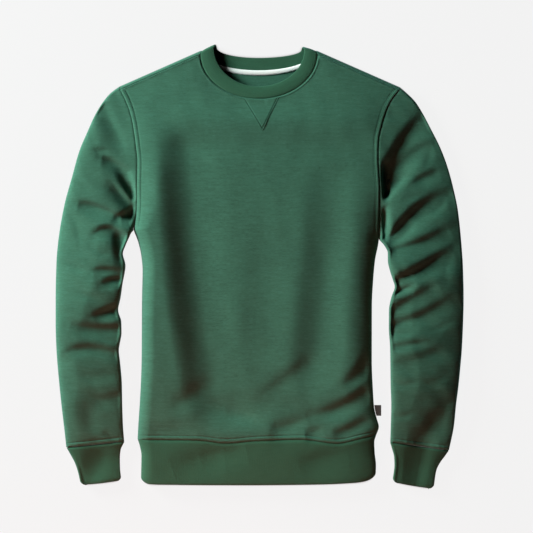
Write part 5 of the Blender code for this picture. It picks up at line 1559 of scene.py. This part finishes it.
def model_stitch():
    """A six-sided rod along X whose two ends are inset and pulled out to a taper."""
    bpy.ops.object.select_all(action="DESELECT")
    bpy.ops.mesh.primitive_cylinder_add(
        vertices=6, radius=STITCH_RADIUS, depth=STITCH_LENGTH * 0.6, rotation=(0, np.pi / 2, 0)
    )
    stitch = bpy.context.active_object
    bpy.ops.object.transform_apply(location=True, rotation=True, scale=True)
    bpy.ops.object.mode_set(mode="EDIT")
    bpy.ops.mesh.select_all(action="DESELECT")
    mesh = bmesh.from_edit_mesh(stitch.data)
    for face in mesh.faces:
        face.select = abs(face.normal.x) > 0.9
    bmesh.update_edit_mesh(stitch.data)
    bpy.ops.mesh.inset(thickness=STITCH_RADIUS * 0.45, depth=STITCH_LENGTH * 0.2)
    bpy.ops.object.mode_set(mode="OBJECT")
    points = np.array([vertex.co for vertex in stitch.data.vertices])
    faces = [list(face.vertices) for face in stitch.data.polygons]
    bpy.data.objects.remove(stitch)
    return points, faces


stitch_points, stitch_faces = model_stitch()
print("one stitch has", len(stitch_faces), "faces")

# %% [markdown]
# ## Copies along a line
#
# A sewing machine keeps its stitches at one distance, so the line is first cut into equal
# steps. At each step the direction of the line, its side and its upward normal make a small
# frame, and the stitch's points are turned into it.

# %% Stitches along a line
def even_line(line, pitch):
    """Points along a line at equal steps, and the direction of the line there."""
    line = np.asarray(line, float)
    keys = np.concatenate([[0], np.cumsum(np.linalg.norm(np.diff(line, axis=0), axis=1))])
    at = np.arange(pitch / 2, keys[-1], pitch)

    def read(places):
        return np.stack([np.interp(places, keys, line[:, k]) for k in range(3)], axis=1)

    ahead = read(np.minimum(at + 0.5, keys[-1])) - read(np.maximum(at - 0.5, 0))
    return read(at), ahead / np.linalg.norm(ahead, axis=1)[:, None]


def stitch_run(line):
    """Every stitch's points along one line of millimetre points."""
    places, ahead = even_line(line, STITCH_LENGTH + STITCH_GAP)
    side = np.cross((0, 0, 1), ahead)
    side /= np.linalg.norm(side, axis=1)[:, None]
    up = np.cross(ahead, side)
    frames = np.stack([ahead, side, up], axis=1)
    turned = np.einsum("pk,nkc->npc", stitch_points, frames)
    return (turned + places[:, None] + up[:, None] * STITCH_LIFT).reshape(-1, 3)


def lay_stitches(name, lines, material):
    """One mesh with a stitch at every step along every line."""
    points = np.concatenate([stitch_run(line) for line in lines])
    size = len(stitch_points)
    count = len(points) // size
    faces = [[v + n * size for v in face] for n in range(count) for face in stitch_faces]
    mesh = bpy.data.meshes.new(name)
    mesh.from_pydata((points * MM).tolist(), [], faces)
    mesh.uv_layers.new(name="cloth")
    obj = bpy.data.objects.new(name, mesh)
    bpy.context.scene.collection.objects.link(obj)
    obj.data.shade_smooth()
    dress(obj, material, [])
    print(name, "has", count, "stitches")


# %% [markdown]
# ## Where the stitches run
#
# Top-stitching holds the seam allowance flat beside the armholes, the neckline and the
# shoulders, and it holds the insert down. The lines are drawn in plan from the same outlines
# that the panels use, then dropped onto the cloth by the heights of the panel's nearest points.

# %% The stitch lines
NEAREST = 6
NECK_STITCH_DROP, SHOULDER_STITCH_DROP, INSERT_STITCH_COLUMN = 3.0, 2.2, 4


def on_front(line):
    """A plan line laid on the front panel, at the height of its nearest points."""
    grid = front_points.reshape(-1, 3)
    heights = []
    for x, y in line:
        away = np.hypot(grid[:, 0] - x, grid[:, 1] - y)
        near = np.argpartition(away, NEAREST)[:NEAREST]
        weight = 1 / np.maximum(away[near], 0.05) ** 2
        heights.append((grid[near, 2] * weight).sum() / weight.sum())
    return np.column_stack([line, heights])


def beside(line, distance):
    """A plan line moved to its left by a distance."""
    run = np.gradient(line, axis=0)
    run /= np.linalg.norm(run, axis=1)[:, None]
    return line + distance * np.stack([-run[:, 1], run[:, 0]], axis=1)


shares = np.linspace(0.03, 0.985, 90)
plan_lines = [
    beside(along(ARMHOLE_LEFT, shares), -BAND_WIDTH),
    beside(along(ARMHOLE_RIGHT, shares), BAND_WIDTH),
]
turn = np.linspace(0.10, np.pi - 0.10, 150)
ring_top = NECK_SEAM.fold_left - SHOULDER_FOLD
neck_half = NECK_SEAM.half + NECK_STITCH_DROP
neck_drop = ring_top - NECK_SEAM.front + NECK_STITCH_DROP
neck_x = NECK_SEAM.centre - neck_half * np.cos(turn)
plan_lines.append(np.stack([neck_x, ring_top - neck_drop * np.sin(turn)], axis=1))
corner_left, corner_right = corner_shares()
for first, last in ((0.02, corner_left - 0.01), (corner_right + 0.01, 0.98)):
    shoulder = np.stack(front_top(np.linspace(first, last, 60)), axis=1)
    plan_lines.append(shoulder - (0, SHOULDER_STITCH_DROP))
lay_stitches("body_stitches", [on_front(line) for line in plan_lines], thread_finish)
inner = insert_points[1 : INSERT_STEPS - 2]
insert_edges = [inner[:, INSERT_STITCH_COLUMN], inner[:, -INSERT_STITCH_COLUMN - 1]]
lay_stitches("insert_stitches", insert_edges, thread_finish)

# %% [markdown]
# ## The floor
#
# The garment is seen from straight above on a pale surface. The floor gives off light of its
# own, as a lit table does, so the shadows on it stay short and pale. The thin dark line where
# cloth meets table is a painted shadow: an Ambient Occlusion node finds how closed in each
# spot is, within a few millimetres, and dims the glow there.

# %% Floor
FLOOR_ALBEDO, FLOOR_GLOW, CONTACT_REACH = 0.03, 0.87, 0.004
FLOOR_SIZE, FLOOR_DROP = 6.0, 0.0006
bpy.ops.object.select_all(action="DESELECT")
bpy.ops.mesh.primitive_plane_add(size=FLOOR_SIZE, location=(0, 0, -FLOOR_DROP))
floor = bpy.context.active_object
floor.name = "floor"
bpy.ops.object.transform_apply(location=True, rotation=True, scale=True)
floor_finish, floor_nodes, floor_shader = new_finish("pale_floor", {
    "Base Color": (FLOOR_ALBEDO, FLOOR_ALBEDO, FLOOR_ALBEDO, 1), "Roughness": 1.0,
    "Specular IOR Level": 0.0, "Emission Strength": FLOOR_GLOW,
})
# Painted contact shadow: the floor's glow is dimmed where the cloth closes it in.
contact = floor_nodes.add("ShaderNodeAmbientOcclusion", {"Distance": CONTACT_REACH}, samples=12)
floor_nodes.join(contact.outputs["Color"], floor_shader, "Emission Color")
floor.data.materials.append(floor_finish)
print("floor at z =", round(floor.data.vertices[0].co.z, 4))

# %% [markdown]
# ## Light
#
# One softbox stands low beyond the wearer's right shoulder, so every fold has a lit and a
# shaded side. Seen from above, low light is what shows the form of cloth.
# A weak warm light from the hem end and a dim world colour keep the shaded sides readable.

# %% Light
Softbox = namedtuple("Softbox", "name place size power colour")
SOFTBOXES = (
    Softbox("key", (-2.02, 1.07, 0.78), 0.8, 151.0, (0.86, 1.0, 0.96)),
    Softbox("warm", (-0.2, -0.88, 0.44), 0.45, 6.6, (1.0, 0.24, 0.19)),
)
FILL_COLOUR, FILL_STRENGTH = (1.0, 0.8, 0.75, 1), 0.006

for box in SOFTBOXES:
    bpy.ops.object.light_add(type="AREA", location=box.place)
    light = bpy.context.active_object
    light.name = box.name + "_softbox"
    light.rotation_euler = Vector(box.place).to_track_quat("Z", "Y").to_euler()
    light.data.shape = "SQUARE"
    light.data.size = box.size
    light.data.energy = box.power
    light.data.color = box.colour
    print(box.name, "light", round(Vector(box.place).length, 2), "metres away")
world = bpy.data.worlds.new("studio")
bpy.context.scene.world = world
world.use_nodes = True
world.node_tree.nodes["Background"].inputs["Color"].default_value = FILL_COLOUR
world.node_tree.nodes["Background"].inputs["Strength"].default_value = FILL_STRENGTH

# %% [markdown]
# ## Camera
#
# The camera looks straight down from far off through a long lens, so that the outline stays
# true and the tall middle of the garment isn't drawn larger than its edges. The lens follows
# from the width of the floor that has to fill the frame.

# %% Camera
IMAGE_WIDTH_MM, IMAGE_CENTRE, CAMERA_HEIGHT, SENSOR = 852.8, (10.4, 0.8), 5.0, 36.0
bpy.ops.object.camera_add(location=(IMAGE_CENTRE[0] * MM, IMAGE_CENTRE[1] * MM, CAMERA_HEIGHT))
camera = bpy.context.active_object
camera.rotation_euler = (0, 0, 0)
camera.data.sensor_width = SENSOR
camera.data.lens = SENSOR * CAMERA_HEIGHT / (IMAGE_WIDTH_MM * MM)
camera.data.clip_end = 50
bpy.context.scene.camera = camera
bpy.context.scene.view_settings.view_transform = "Standard"
print("lens:", round(camera.data.lens, 1))
